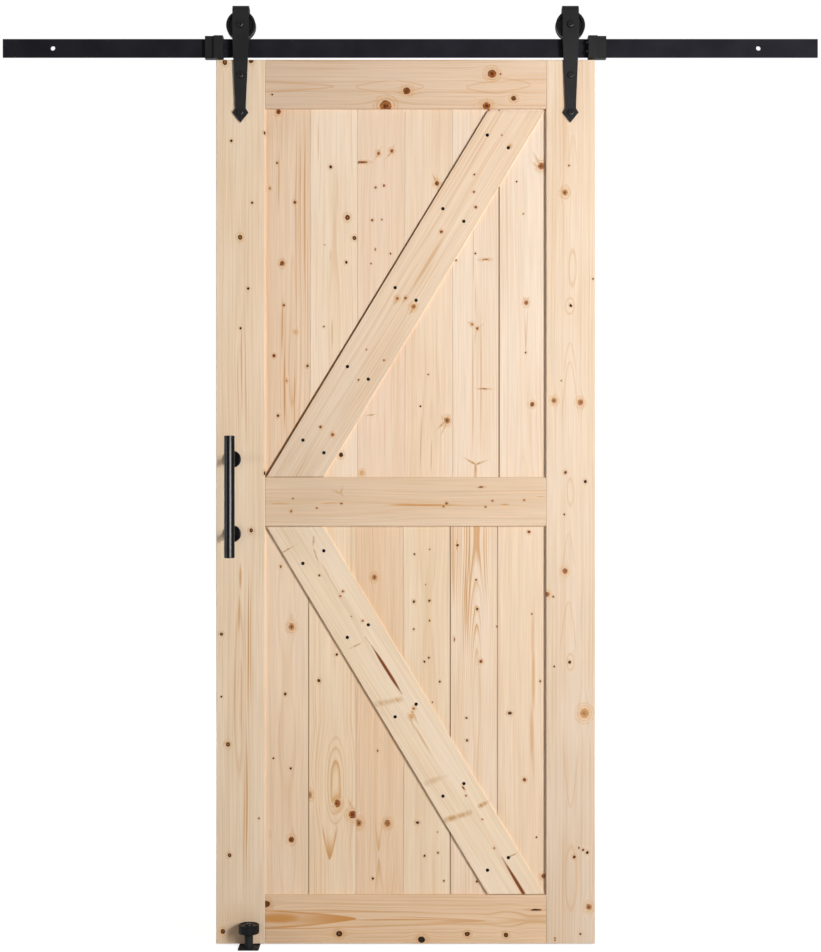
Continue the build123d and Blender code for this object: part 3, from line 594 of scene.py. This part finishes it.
# fade is a painted shade: the tone's share at the lower or left end of the board
leftStile = {
    "node": "left_stile", "tone": (243, 219, 191), "seed": 1, "pith": (0, 12), "wobble": 8, "ring": 7.5,
    "contrast": 0.14, "fade": 0.93,
    "lenses": [(242, 372, 60, 4), (240, 690, 60, 4), (241, 210, 70, 3)],
    "strong": [(245, 720, 240, 7, 0.25), (243, 380, 130, 8, 0.15)],
    "ovals": [(239, 690, 78, 4.6, 0.4)],
    "knots": [(224.9, 62.4, 2.4, 1.4), (251, 61, 2.2, 0.9), (231.4, 140.8, 1.3, 1.0), (252.2, 202.8, 1.1, 1.0),
              (240.1, 237.3, 2.3, 1.4), (265.3, 133, 1.6, 1.2), (248.3, 288.5, 1.2, 1.0), (240.5, 328.3, 1.2, 1.0),
              (265.7, 473, 2.0, 0.95), (251.2, 530.3, 1.9, 1.3), (221.4, 634, 1.6, 1.3), (221.4, 696.7, 0.9, 1.0),
              (228, 744.4, 2.1, 1.4), (229.5, 855.2, 1.8, 1.4), (222.8, 931.3, 2.3, 1.3), (258.8, 818.3, 0.9, 0.9)],
    # the first resin patch, broad and faint at the foot, darkens it both as grime and as painted shade from the floor
    # guide
    "resin": [(238, 936, 46, 26, 0.2), (239.5, 577, 18, 1.8, 0.7), (238.6, 613, 26, 1.2, 0.65),
              (248.0, 650, 100, 1.0, 0.8), (250.2, 640, 90, 0.9, 0.55), (246.2, 800, 105, 1.0, 0.8),
              (243.6, 830, 90, 0.9, 0.55), (241.5, 700, 60, 1.0, 0.5), (235, 690, 50, 0.9, 0.45),
              (242, 365, 60, 1.1, 0.55), (238, 400, 70, 0.9, 0.45), (246, 390, 70, 0.9, 0.45)],
    # a painted shade line along the stile's inner edge, beside the boards
    "seams": [(266, 0.5)],
}
rightStile = {
    "node": "right_stile", "tone": (238, 215, 190), "seed": 2, "pith": (4, 26), "wobble": 6, "ring": 8.0,
    "contrast": 0.3, "fade": 0.87,
    "ovals": [(572.7, 268, 17, 3.4, 0.42), (570.5, 306, 8, 4.0, 0.45), (570, 492, 13, 3.2, 0.4),
              (569.5, 662, 8, 3.6, 0.45), (571, 878, 31, 5.6, 0.42), (565, 192, 7, 4.6, 0.3)],
    "arches": [(570.7, 342, 570.7, 372, 6.0, 0.4), (570.7, 361, 570.5, 420, 9.0, 0.42),
               (568, 533, 568, 566, 6.0, 0.35), (567.5, 601, 568, 650, 8.0, 0.42), (570, 808, 569, 748, 7.0, 0.42),
               (572, 135, 571, 165, 4.0, 0.3)],
    "strong": [(589, 330, 230, 6, 0.25), (589, 650, 160, 6, 0.2)],
    "knots": [(569, 165.5, 0.9, 1.0), (564.8, 192.5, 2.8, 0.27), (592.9, 278.9, 0.9, 0.8), (570.7, 305.6, 1.4, 1.0),
              (561.1, 380.6, 0.7, 0.9), (554.1, 400.5, 2.6, 0.26), (580.4, 402.3, 2.9, 0.35),
              (565.4, 472.5, 1.5, 0.65), (585.2, 481.5, 1.5, 1.0), (564.3, 514.5, 0.9, 1.0), (565, 571.1, 2.6, 0.4),
              (547.2, 594.2, 2.3, 0.43), (553.2, 596.6, 0.9, 0.9), (569.4, 662.1, 1.5, 0.95),
              (554.1, 666.4, 1.0, 1.0), (584.4, 713.3, 4.6, 0.2), (578.7, 847.8, 0.9, 0.9), (583, 849.9, 1.1, 0.9),
              (587.3, 852.4, 1.5, 1.0), (574.1, 857, 1.6, 0.9), (589, 906.9, 3.0, 0.27), (580.4, 934, 1.0, 1.0),
              (555, 938, 0.7, 0.8), (555, 940.4, 0.7, 0.8)],
    # a painted shade line along the stile's inner edge, beside the boards
    "seams": [(546, 0.15)],
}
topRail = {
    "node": "top_rail", "lean": 90, "tone": (233, 205, 178), "seed": 3, "pith": (5, 14), "wobble": 5, "ring": 9.0,
    "contrast": 0.4, "fade": 0.9,
    "arches": [(334.5, 86.5, 264, 86, 5.0, 0.6), (355.5, 86.8, 392, 86, 6.5, 0.5), (424, 86.5, 394, 86, 6.5, 0.5),
               (466, 87, 499, 86, 6.5, 0.5), (531, 85, 500, 86, 6.5, 0.45)],
    "knots": [(492, 73.9, 4.0, 0.53), (500.5, 74.2, 0.9, 0.6), (406.7, 91, 3.4, 0.69), (385.7, 106, 5.4, 0.46),
              (513.7, 98.4, 2.4, 0.82), (486.5, 106, 3.6, 0.53), (272.1, 94.5, 0.9, 1.0)],
}
middleRail = {
    "node": "middle_rail", "lean": 90, "tone": (226, 199, 170), "seed": 4, "pith": (8, 70), "wobble": 14, "ring": 5.0,
    "contrast": 0.17,
    "knots": [(293, 498.6, 0.8, 0.5), (291, 511.4, 1.1, 0.4), (316.9, 508, 0.9, 0.5), (341.4, 503.6, 1.0, 0.6),
              (446.6, 503.5, 1.2, 0.4), (443.4, 506.5, 0.9, 0.4), (492.4, 501, 0.9, 0.4), (485.5, 507, 0.9, 0.4),
              (524, 500.2, 0.9, 0.5), (480.7, 487.1, 0.7, 0.6, 4.0)],
    "resin": [(425, 505.2, 52, 1.3, 0.95), (404, 504.3, 18, 1.1, 0.6), (330, 503, 13, 0.8, 0.6),
              (505, 504.6, 6, 1.1, 0.8), (470, 506, 25, 0.6, 0.4), (280, 502.5, 14, 1.1, 0.45),
              (541, 496.7, 7, 0.7, 0.6)],
    "strokes": [(341, 493, 331, 490.5, 2.4, 0.6), (341, 493, 343, 484, 2.0, 0.5), (341, 494, 345, 497, 1.6, 0.5)],
}
bottomRail = {
    "node": "bottom_rail", "lean": 90, "tone": (229, 198, 165), "seed": 5, "pith": (0, 22), "wobble": 10, "ring": 8.0,
    "contrast": 0.36, "swells": 3.0,
    "lenses": [(300, 919, 90, 9), (508, 920, 22, 6)],
    "knots": [(339.2, 933.7, 2.9, 1.2), (421.5, 939.5, 3.3, 1.0), (467.3, 934, 2.3, 1.2), (505.8, 935, 2.2, 1.2),
              (266.3, 904, 3.4, 0.84), (536.1, 909.8, 0.9, 0.95, 6.5)],
    "wedges": [(358, 919, 262, 918, 10.5, 0.9), (488, 921.5, 396, 919, 5.0, 0.55), (528, 921, 488, 921, 4.5, 0.4)],
    "resin": [(278, 917.5, 34, 7.5, 0.85), (400, 920.3, 70, 1.2, 0.7), (460, 921, 32, 1.0, 0.6),
              (330, 912.5, 40, 0.7, 0.5), (345, 928, 60, 0.6, 0.35)],
}
for rail in (leftStile, rightStile, topRail, middleRail, bottomRail):
    pineMaterial(rail)
print("frame of the leaf done")

# Boards above the middle rail, left to right

upperBoards = [
    {"node": "upper_board_1", "tone": (237, 208, 179), "seed": 11, "pith": (14, 30), "wobble": 12, "ring": 6.0,
     "contrast": 0.42,
     "knots": [(278.2, 110.9, 2.4, 0.62), (276.8, 162.2, 1.0, 0.9), (269.5, 187.8, 1.2, 0.25),
               (294.7, 201.8, 1.4, 0.67), (281.9, 263, 2.4, 0.57), (283.6, 304.9, 1.3, 0.53),
               (295.2, 331.8, 1.5, 0.1), (273.8, 355.4, 1.5, 0.64), (307.3, 365.6, 1.4, 0.67),
               (286.1, 380.7, 1.4, 0.18), (277.8, 415.5, 1.4, 0.72)],
     "strong": [(301, 280, 190, 9, 0.7)],
     "resin": [(282, 325, 40, 1.2, 0.75), (284.6, 390, 52, 1.4, 0.75), (296, 220, 130, 1.0, 0.55),
               (300.5, 200, 100, 0.9, 0.5), (304.8, 210, 120, 1.1, 0.65), (307.5, 300, 110, 0.8, 0.5),
               (295, 400, 50, 0.9, 0.6), (278.5, 180, 40, 0.9, 0.6)]},
    {"node": "upper_board_2", "tone": (244, 221, 195), "seed": 12, "pith": (0, 34), "wobble": 12, "ring": 7.0,
     "contrast": 0.14,
     "knots": [(330.5, 166.4, 1.5, 0.95), (347.4, 216.9, 2.4, 1.35), (354.1, 237.6, 2.0, 1.3),
               (346.1, 262, 1.4, 1.0), (323.8, 326.4, 0.8, 1.0), (340.8, 454.8, 2.2, 1.1),
               (324.5, 244.5, 0.8, 0.5, 0.4)],
     "resin": [(332.6, 333, 20, 1.2, 0.45), (331, 255, 8, 1.2, 0.3), (318, 140, 30, 0.8, 0.4),
               (320, 185, 40, 0.6, 0.3)]},
    {"node": "upper_board_3", "tone": (239, 212, 186), "seed": 13, "pith": (-4, 40), "wobble": 12, "ring": 7.0,
     "contrast": 0.2,
     "knots": [(378.3, 152.7, 1.8, 0.38), (391.7, 150.3, 1.9, 0.41), (362.8, 161.6, 4.6, 0.39, 0.27),
               (358.3, 161.8, 0.9, 0.9), (375.5, 186.9, 1.2, 0.45), (383.8, 185.1, 1.1, 0.65),
               (372.3, 219.7, 1.1, 0.5), (381.7, 219.1, 0.8, 0.8), (390.3, 253.3, 0.9, 0.8),
               (375.3, 249, 0.7, 0.5, 2.0), (371, 263, 0.8, 0.5), (361.7, 473, 2.2, 0.1)],
     "strokes": [(369, 415.2, 377, 413.8, 1.3, 0.8), (369, 415.2, 363, 416, 1.0, 0.5),
                 (378, 154, 373, 161, 1.3, 0.6), (378.5, 151, 382, 145, 1.0, 0.5), (391, 152, 385, 159, 1.6, 0.6),
                 (392, 148, 396, 142, 1.0, 0.5)],
     "resin": [(384, 430, 40, 0.6, 0.35), (380, 440, 30, 0.5, 0.3)]},
    {"node": "upper_board_4", "tone": (239, 214, 187), "seed": 14, "pith": (4, 46), "wobble": 12, "ring": 7.0,
     "contrast": 0.11,
     "knots": [(437, 182.8, 2.3, 0.53), (428.3, 374.3, 0.7, 0.7), (420.4, 406.1, 0.9, 1.0),
               (447.2, 420.3, 3.0, 0.32)],
     "strokes": [(436, 181, 432, 172, 1.8, 0.8), (437.5, 180, 436.5, 169, 1.0, 0.6), (438, 186, 437, 193, 1.2, 0.5),
                 (446, 421, 436, 430, 2.0, 0.85), (446.5, 423, 440, 437, 1.3, 0.7), (445, 418, 439, 415, 1.2, 0.5)],
     "resin": [(420.5, 440, 36, 0.8, 0.6), (431, 456, 24, 1.0, 0.5)]},
    {"node": "upper_board_5", "tone": (240, 218, 195), "seed": 15, "pith": (0, 18), "wobble": 8, "ring": 7.0,
     "contrast": 0.14,
     "knots": [(485.5, 259.1, 3.6, 0.24, 0.25), (456.3, 260, 0.9, 0.6), (475.5, 253, 0.9, 0.8),
               (472.3, 324.1, 1.5, 0.24), (477.3, 328.3, 1.4, 0.39), (483.5, 388.7, 4.0, 0.35, 0.16)],
     "strokes": [(471, 323.5, 466, 320.5, 1.3, 0.7), (478, 327, 485, 323, 1.3, 0.6), (476, 331, 474, 346, 1.2, 0.5),
                 (475, 464, 462, 456.5, 1.6, 0.9), (476, 464.5, 489, 459.5, 1.6, 0.9),
                 (475.5, 465, 475.5, 474, 1.6, 0.7), (484, 388.6, 496, 389.2, 1.0, 0.6),
                 (487, 259, 492, 257, 1.2, 0.6), (484, 259.5, 479, 261, 1.2, 0.6)],
     "resin": [(472.6, 390, 90, 0.9, 0.55), (480.4, 380, 90, 0.9, 0.55), (476, 300, 25, 0.7, 0.4),
               (473.5, 250, 40, 0.8, 0.42), (476, 472, 12, 2.2, 0.5), (477, 350, 110, 2.6, 0.12)]},
    {"node": "upper_board_6", "tone": (240, 219, 197), "seed": 16, "pith": (0, 38), "wobble": 12, "ring": 7.0,
     "contrast": 0.13,
     "knots": [(541.5, 165.5, 3.3, 0.38), (516.7, 180.9, 0.9, 1.0), (523.5, 213.2, 0.8, 0.6),
               (526.3, 302.4, 2.3, 0.35), (532.4, 404.2, 2.2, 0.56), (526, 352.4, 0.9, 1.0)],
     "wedges": [(526, 352, 526.3, 306, 2.6, 0.5)],
     "strokes": [(540, 164, 533, 151, 2.2, 0.75), (539, 167, 530, 160, 1.5, 0.55), (525, 300, 523, 295, 1.6, 0.5),
                 (527.5, 300, 530, 296, 1.6, 0.5)],
     "resin": [(532, 420, 40, 0.6, 0.25)]},
]

# Boards below it

lowerBoards = [
    {"node": "lower_board_1", "tone": (237, 211, 183), "seed": 21, "pith": (2, 30), "wobble": 6, "ring": 7.5,
     "contrast": 0.2,
     "lenses": [(291, 610, 60, 7), (292, 740, 55, 6), (291, 860, 35, 5)],
     "knots": [(280.4, 566.8, 1.0, 0.7, 1.4), (291.2, 627.1, 3.0, 0.27, 1.3), (284.9, 694.4, 1.4, 0.92),
               (273.1, 758.8, 0.9, 1.0), (290.5, 769, 1.1, 1.0), (291.2, 840.4, 2.8, 0.57)],
     "resin": [(270, 835, 8, 3.0, 0.15), (291.5, 617, 5, 3, 0.25)]},
    {"node": "lower_board_2", "tone": (239, 214, 184), "seed": 22, "pith": (5, 33.5), "wobble": 3, "ring": 7.0,
     "contrast": 0.27,
     "lenses": [(334, 782, 64, 24)],
     "knots": [(336.5, 654.8, 1.2, 0.95), (318.7, 681, 1.6, 0.92), (309.5, 795.7, 2.4, 0.2, 1.6),
               (337.3, 804, 3.2, 0.45, 1.25), (352.5, 815.2, 4.0, 0.54, 1.0)],
     "wedges": [(329.6, 861, 331, 829, 8.0, 0.8)],
     "strong": [(334, 785, 70, 18, 0.22)],
     "strokes": [(352, 809, 348, 799, 2.2, 0.7)]},
    {"node": "lower_board_3", "tone": (233, 203, 171), "seed": 23, "pith": (2, 26), "wobble": 5, "ring": 7.0,
     "contrast": 0.28,
     "lenses": [(377, 760, 45, 6), (378, 640, 50, 5), (379, 870, 30, 5)],
     "knots": [(374.2, 577.4, 2.6, 0.32), (377.5, 751.2, 0.9, 0.8), (358.5, 823.7, 3.2, 0.3, 1.2),
               (387.4, 824, 3.0, 0.39, 1.2), (372.8, 879.3, 1.1, 1.0)],
     "wedges": [(379, 853, 378, 826, 3.4, 0.55), (379.3, 858, 379, 892, 4.0, 0.5)]},
    {"node": "lower_board_4", "tone": (236, 213, 184), "seed": 24, "pith": (0, 50), "wobble": 12, "ring": 7.0,
     "contrast": 0.15,
     "knots": [(414.4, 554.4, 0.9, 1.0), (429.6, 549.5, 0.7, 0.9), (425.5, 584.7, 0.6, 0.8),
               (413.9, 602, 1.4, 0.85), (429.3, 600.9, 1.2, 0.85), (429.5, 620.9, 0.9, 0.9),
               (413.7, 629.4, 0.9, 0.9), (429, 658.1, 1.0, 1.0), (424.4, 662, 1.1, 1.0), (439.8, 682, 1.0, 0.9),
               (432.4, 702.8, 0.8, 0.8), (417.5, 823.3, 1.9, 0.95, 0.75), (437.4, 832.7, 0.7, 0.9),
               (424.6, 856.6, 1.2, 1.0), (438, 853.4, 1.0, 1.0), (444, 881.6, 0.9, 0.8)]},
    {"node": "lower_board_5", "tone": (237, 214, 189), "seed": 25, "pith": (3, 26), "wobble": 3, "ring": 4.4,
     "contrast": 0.24,
     "lenses": [(475, 700, 170, 18), (476, 800, 60, 8)],
     "knots": [(457.7, 545.3, 1.2, 1.0), (476.3, 580, 0.8, 0.6), (477.3, 609.3, 1.2, 0.95), (481, 661.8, 1.6, 0.55),
               (466.6, 718.5, 1.0, 1.0), (467, 740.8, 1.2, 0.95), (454.2, 639.9, 0.7, 0.6, 3.0),
               (497.3, 626.9, 1.0, 0.85), (477, 882.4, 1.1, 0.7)],
     "strong": [(472, 550, 100, 26, 1.2), (470, 600, 70, 18, 1.0)],
     "resin": [(453.5, 550, 70, 2.0, 0.55), (470, 570, 60, 1.2, 0.5), (485, 560, 50, 1.0, 0.4),
               (466.5, 600, 45, 1.6, 0.5)]},
    {"node": "lower_board_6", "tone": (236, 212, 185), "seed": 26, "pith": (6, 42), "wobble": 10, "ring": 7.0,
     "contrast": 0.2,
     "knots": [(529.2, 532.1, 1.5, 0.62), (532, 614.3, 0.8, 0.8), (540.3, 681.7, 1.0, 0.85),
               (510, 713.6, 2.1, 0.92, 0.75), (524.7, 780.4, 1.8, 0.48), (536.6, 838, 0.9, 1.0),
               (543.8, 876.7, 2.2, 0.6)],
     "resin": [(533, 636, 34, 2.8, 0.3), (534, 680, 46, 2.2, 0.5), (532.6, 735, 40, 2.6, 0.5),
               (534, 765, 18, 1.4, 0.25)]},
]
# painted light at the seams: a strength above 0 is a painted shade line, below 0 a painted highlight; the line beside
# the right stile is a painted shadow that the stile casts on the last board
upperSeams = (310.1, 357.4, 404.7, 451.9, 499.2)
lowerSeams = (308.5, 355.8, 403.0, 450.3, 497.5)
seamShading = {"upper": (-0.3, -0.6, -0.6, -0.5, 1.0), "lower": (0.6, -0.4, -0.5, 0.8, 0.5)}
stileShadowLine = (544.2, 0.6)
braceShadows = {"upper": (445.7, 180, 287.3, 440, 1.6, 0.9), "lower": (285.0, 560, 454.0, 838, 2.2, 0.14)}


# each board gets its painted seam lines, the last one the painted stile shadow too, and the painted brace shadow
def addSeams(boards, places, strengths, braceShadow):
    for count, board in enumerate(boards):
        pairs = list(zip(places, strengths)) + [stileShadowLine]
        board["seams"] = pairs[max(count - 1, 0):count + 1]
        board["braceShadow"] = braceShadow


addSeams(upperBoards, upperSeams, seamShading["upper"], braceShadows["upper"])
addSeams(lowerBoards, lowerSeams, seamShading["lower"], braceShadows["lower"])
for board in upperBoards + lowerBoards:
    pineMaterial(board)
print("boards done")

# The two braces of the K: the grain runs along each one

braceLean = 31.3
# the upper brace's fade is a painted shade towards its lower left end
upperBrace = {
    "node": "upper_brace", "lean": braceLean, "tone": (239, 214, 187), "seed": 31, "pith": (-14, 26), "wobble": 8,
    "ring": 6.0, "contrast": 0.22, "fade": 0.93,
    "knots": [(501.8, 135, 0.8, 0.5), (510, 146, 1.4, 0.15), (474.3, 174.5, 1.0, 0.6), (473.8, 191.8, 1.1, 0.65),
              (475.8, 207.2, 1.3, 0.6), (441.3, 231.8, 1.5, 0.47), (397.4, 298.5, 1.8, 0.24),
              (405.5, 298, 1.4, 0.39), (413.5, 306.5, 2.6, 0.25), (366.4, 349.6, 0.8, 0.5),
              (383.9, 360.3, 1.0, 0.4), (358.4, 379.9, 1.0, 0.6), (320.5, 427.1, 1.3, 0.42),
              (332.6, 434.6, 1.6, 0.47)],
    "strong": [(452, 245, 120, 7, 0.3), (375, 378, 80, 7, 0.3)],
    "strokes": [(397, 300, 392, 306, 1.8, 0.7), (405, 299, 401, 304, 1.6, 0.6), (413, 309, 408, 316, 1.8, 0.7)],
    "resin": [(428, 262, 46, 2.4, 0.45), (424, 278, 30, 1.0, 0.3)],
}
lowerBrace = {
    "node": "lower_brace", "lean": -braceLean, "tone": (240, 219, 193), "seed": 32, "pith": (12, 44), "wobble": 6,
    "ring": 5.0, "contrast": 0.17,
    "knots": [(319.3, 575.5, 1.1, 0.75), (340.4, 596.2, 1.0, 0.55), (343, 591.4, 1.2, 0.3),
              (351.2, 616.6, 0.7, 0.6), (362.7, 620.8, 1.2, 0.35), (413.7, 708.5, 1.5, 0.25),
              (411.4, 716.4, 2.2, 0.1), (463.4, 788, 0.9, 0.55, 2.2), (466, 795.7, 0.9, 0.5),
              (482.3, 819.5, 0.8, 0.5), (494.1, 848, 1.0, 0.3)],
    "strokes": [(283, 552.3, 297, 544, 1.3, 1.0), (314, 537, 313, 548, 1.8, 0.8), (314, 550, 320, 567, 1.2, 0.85),
                (354, 646.5, 363, 642, 1.5, 0.9), (355, 646, 348, 649.5, 1.2, 0.7),
                (377, 704, 403, 699.5, 5.0, 0.6), (400, 699.5, 374, 704.5, 4.6, 0.55),
                (412, 712, 418, 724, 2.0, 0.8), (409, 715, 416, 734, 1.4, 0.6), (427, 783, 449, 775, 5.0, 0.4),
                (446, 820, 472, 812, 4.6, 0.75), (470, 812.5, 446, 820.5, 4.2, 0.65),
                (480, 806, 491, 800, 3.6, 0.8), (510, 856.5, 519, 852, 1.3, 1.0), (365, 637, 374, 649, 0.8, 0.6)],
    "resin": [(422, 738, 24, 1.8, 0.45), (333, 583, 24, 0.8, 0.4), (326, 570, 12, 1.0, 0.35),
              (450, 790, 30, 0.7, 0.25)],
    "splits": [(388.2, 672, 402.0, 694, 2.1, 2.4), (388.2, 672, 371.5, 645.5, 2.1, 2.4),
               (523.5, 893.5, 502, 857.5, 2.3, 2.4)],
}
pineMaterial(upperBrace)
pineMaterial(lowerBrace)
print("braces done")

# Dowels inside the joints: plain beech, with fine flecks

def dowelMaterial():
    look = {"pale": paint(214, 176, 132), "deep": paint(188, 146, 102), "stretch": (12, 420, 420), "mix": (0.3, 0.7),
            "roughness": (0.2, 0.8, 0.55, 0.7), "bump": 0.15, "height": 0.3 * mm}
    material, tree, shader = newMaterial("dowel_beech")
    flecks = stretchedNoise(tree, objectPosition(tree), look["stretch"], detail=2.0).outputs[0]
    colour = mixColour(tree, ease(tree, flecks, *look["mix"]), look["pale"], look["deep"])
    tree.links.new(colour, shader.inputs["Base Color"])
    tree.links.new(ease(tree, flecks, *look["roughness"]), shader.inputs["Roughness"])
    addRelief(tree, shader, flecks, look["bump"], look["height"])
    wear(["frame_dowels"], material)


dowelMaterial()

# Black hardware: two tones, the range of roughness, the size and height of the paint's grain

powderCoat = {"deep": paint(30, 30, 31), "light": paint(37, 36, 37), "rough": (0.40, 0.54), "peel": 850,
              "peelHeight": 0.05 * mm, "specular": 0.08}
railCoat = {"deep": paint(31, 30, 36), "light": paint(38, 37, 43), "rough": (0.52, 0.64), "peel": 850,
            "peelHeight": 0.05 * mm, "specular": 0.02}
handleCoat = {"deep": paint(11, 10, 12), "light": paint(16, 15, 18), "rough": (0.13, 0.17), "peel": 1200,
              "peelHeight": 0.005 * mm, "specular": 0.11}
blackOxide = {"deep": paint(12, 11, 10), "light": paint(20, 18, 16), "rough": (0.20, 0.30), "peel": 1900,
              "peelHeight": 0.02 * mm, "specular": 0.2}
screwBlack = {"deep": paint(6, 5, 5), "light": paint(10, 9, 8), "rough": (0.34, 0.46), "peel": 1900,
              "peelHeight": 0.02 * mm, "specular": 0.08}
nylon = {"deep": paint(14, 14, 16), "light": paint(20, 20, 22), "rough": (0.26, 0.36), "peel": 1400,
         "peelHeight": 0.02 * mm, "specular": 0.1}
rubber = {"deep": paint(17, 17, 18), "light": paint(26, 26, 26), "rough": (0.68, 0.84), "peel": 2200,
          "peelHeight": 0.06 * mm, "specular": 0.12}
blackWear = {"clouds": 14, "scuffs": (30, 160, 160), "mix": (0.3, 0.7), "bump": 0.35}


def blackMaterial(name, look):
    material, tree, shader = newMaterial(name)
    position = objectPosition(tree)
    clouds = noise(tree, position, blackWear["clouds"], detail=3.0).outputs[0]
    peel = noise(tree, position, look["peel"], detail=1.0).outputs[0]
    scuffs = stretchedNoise(tree, position, blackWear["scuffs"], detail=3.0).outputs[0]
    colour = mixColour(tree, ease(tree, clouds, *blackWear["mix"]), look["deep"], look["light"])
    tree.links.new(colour, shader.inputs["Base Color"])
    mixed = calc(tree, "MULTIPLY_ADD", scuffs, 0.5, calc(tree, "MULTIPLY", clouds, 0.5))
    tree.links.new(ease(tree, mixed, *blackWear["mix"], *look["rough"]), shader.inputs["Roughness"])
    addRelief(tree, shader, peel, blackWear["bump"], look["peelHeight"])
    shader.inputs["Specular IOR Level"].default_value = look["specular"]
    return material


def steelMaterial():
    look = {"pale": paint(186, 187, 190), "deep": paint(150, 151, 155), "stretch": (60, 1500, 60), "mix": (0.3, 0.7),
            "roughness": (0.2, 0.8, 0.22, 0.4), "bump": 0.1, "height": 0.05 * mm}
    material, tree, shader = newMaterial("bearing_steel")
    ground = stretchedNoise(tree, objectPosition(tree), look["stretch"], detail=2.0).outputs[0]
    colour = mixColour(tree, ease(tree, ground, *look["mix"]), look["pale"], look["deep"])
    tree.links.new(colour, shader.inputs["Base Color"])
    tree.links.new(ease(tree, ground, *look["roughness"]), shader.inputs["Roughness"])
    shader.inputs["Metallic"].default_value = 1.0
    addRelief(tree, shader, ground, look["bump"], look["height"])
    return material


coat = blackMaterial("black_powder_coat", powderCoat)
oxide = blackMaterial("black_oxide", blackOxide)
bearing = steelMaterial()
wear(["track_rail"], blackMaterial("black_rail_coat", railCoat))
wear(["handle_bar", "upper_handle_post", "lower_handle_post"], blackMaterial("black_handle_coat", handleCoat))
wear(["guide_base_plate", "front_guide_post", "rear_guide_post"], coat)
wear(["axle_bolts", "axle_nuts", "strap_bolts", "strap_washers", "strap_nuts", "handle_screws", "guide_caps"], oxide)
wear(["upper_brace_screws", "lower_brace_screws"], blackMaterial("black_screws", screwBlack))
wear(["left_wheel", "right_wheel", "front_guide_roller", "rear_guide_roller"], blackMaterial("black_nylon", nylon))
wear(["left_stop_bumpers", "right_stop_bumpers"], blackMaterial("black_rubber", rubber))
wear(["bearing_inner_rings", "axle_spacers"], bearing)
for side in ("left", "right"):
    wear([side + "_hanger_strap", side + "_stop_clamp", side + "_stop_back_plate"], coat)
    wear([side + "_stop_screws"], oxide)
    wear([side + "_bearing_outer_ring", side + "_bearing_balls"], bearing)
print("hardware done")

# Camera, level and almost square on, about 4 m from the leaf

camera = {"distance": 4.0, "x": 11.8 * mm, "z": -1035.4 * mm, "lens": 62.67, "sensor": 36, "clipEnd": 60}


def addCamera():
    bpy.ops.object.camera_add(location=(camera["x"], leafLow.y - camera["distance"], camera["z"]),
                              rotation=(math.radians(90), 0, 0))
    shot = bpy.context.object
    shot.data.lens = camera["lens"]
    shot.data.sensor_width = camera["sensor"]
    shot.data.clip_end = camera["clipEnd"]
    scene.camera = shot


addCamera()

# Soft studio light in a white room: a key from the upper right, boxes from the right, the left and behind

lights = [
    {"name": "key", "from": (0.80, -1.0, 0.32), "away": 4.6, "size": (0.8, 0.8), "watts": 139},
    {"name": "side", "from": (0.77, -1.0, -0.012), "away": 4.1, "size": (1.7, 0.7), "watts": 46},
    {"name": "left", "from": (-2.8, -1.0, -0.025), "away": 4.0, "size": (0.9, 0.7), "watts": 26},
    {"name": "strip", "from": (0.355, -1.0, -0.012), "away": 3.5, "size": (1.8, 0.7), "watts": 178,
     "diffuse": False},    # the highlight along the handle
    {"name": "back", "from": (0.10, 1.0, 0.28), "away": 4.2, "size": (1.1, 1.1), "watts": 90,
     "glossy": False},     # it would glare on the wheels' rims
]
room = {"ambient": 0.12, "background": 1.0}


def addLights():
    middle = (leafLow + leafHigh) / 2
    for lamp in lights:
        direction = Vector(lamp["from"]).normalized()
        bpy.ops.object.light_add(type="AREA", location=middle + direction * lamp["away"])
        light = bpy.context.object
        light.name = lamp["name"]
        light.rotation_euler = direction.to_track_quat("Z", "Y").to_euler()
        light.data.shape = "RECTANGLE"
        light.data.size, light.data.size_y = lamp["size"]
        light.data.energy = lamp["watts"]
        light.visible_diffuse = lamp.get("diffuse", True)
        light.visible_glossy = lamp.get("glossy", True)


def seenDirectly(tree):
    path = put(tree, "LightPath").outputs
    shown = calc(tree, "MAXIMUM", path["Is Camera Ray"], path["Is Glossy Ray"])
    return calc(tree, "MAXIMUM", shown, path["Is Transmission Ray"])


def addRoom():
    world = bpy.data.worlds.new("white_room")
    world.use_nodes = True
    scene.world = world
    tree = world.node_tree
    background = tree.nodes["Background"]
    background.inputs["Color"].default_value = (1, 1, 1, 1)
    level = calc(tree, "MULTIPLY_ADD", seenDirectly(tree), room["background"] - room["ambient"], room["ambient"])
    tree.links.new(level, background.inputs["Strength"])


def addFloor():
    # it glows only where it is seen, directly or mirrored, and more so away from the door
    look = {"size": 24, "diffuse": (0.5, 0.5, 0.5, 1), "roughness": 0.9, "lift": (0.6, 2.0, 0.8, 1.0)}
    bpy.ops.mesh.primitive_plane_add(size=look["size"], location=(0, 0, cadLow.z))
    floor = bpy.context.object
    floor.name = "floor"
    material, tree, shader = newMaterial("pale_floor")
    shader.inputs["Base Color"].default_value = look["diffuse"]
    shader.inputs["Roughness"].default_value = look["roughness"]
    shader.inputs["Specular IOR Level"].default_value = 0.0
    shader.inputs["Emission Color"].default_value = (1, 1, 1, 1)
    away = calcVector(tree, "LENGTH", objectPosition(tree))
    lift = calc(tree, "MULTIPLY", seenDirectly(tree), ease(tree, away, *look["lift"]))
    tree.links.new(lift, shader.inputs["Emission Strength"])
    floor.data.materials.append(material)


addLights()
addRoom()
addFloor()
print("studio done")
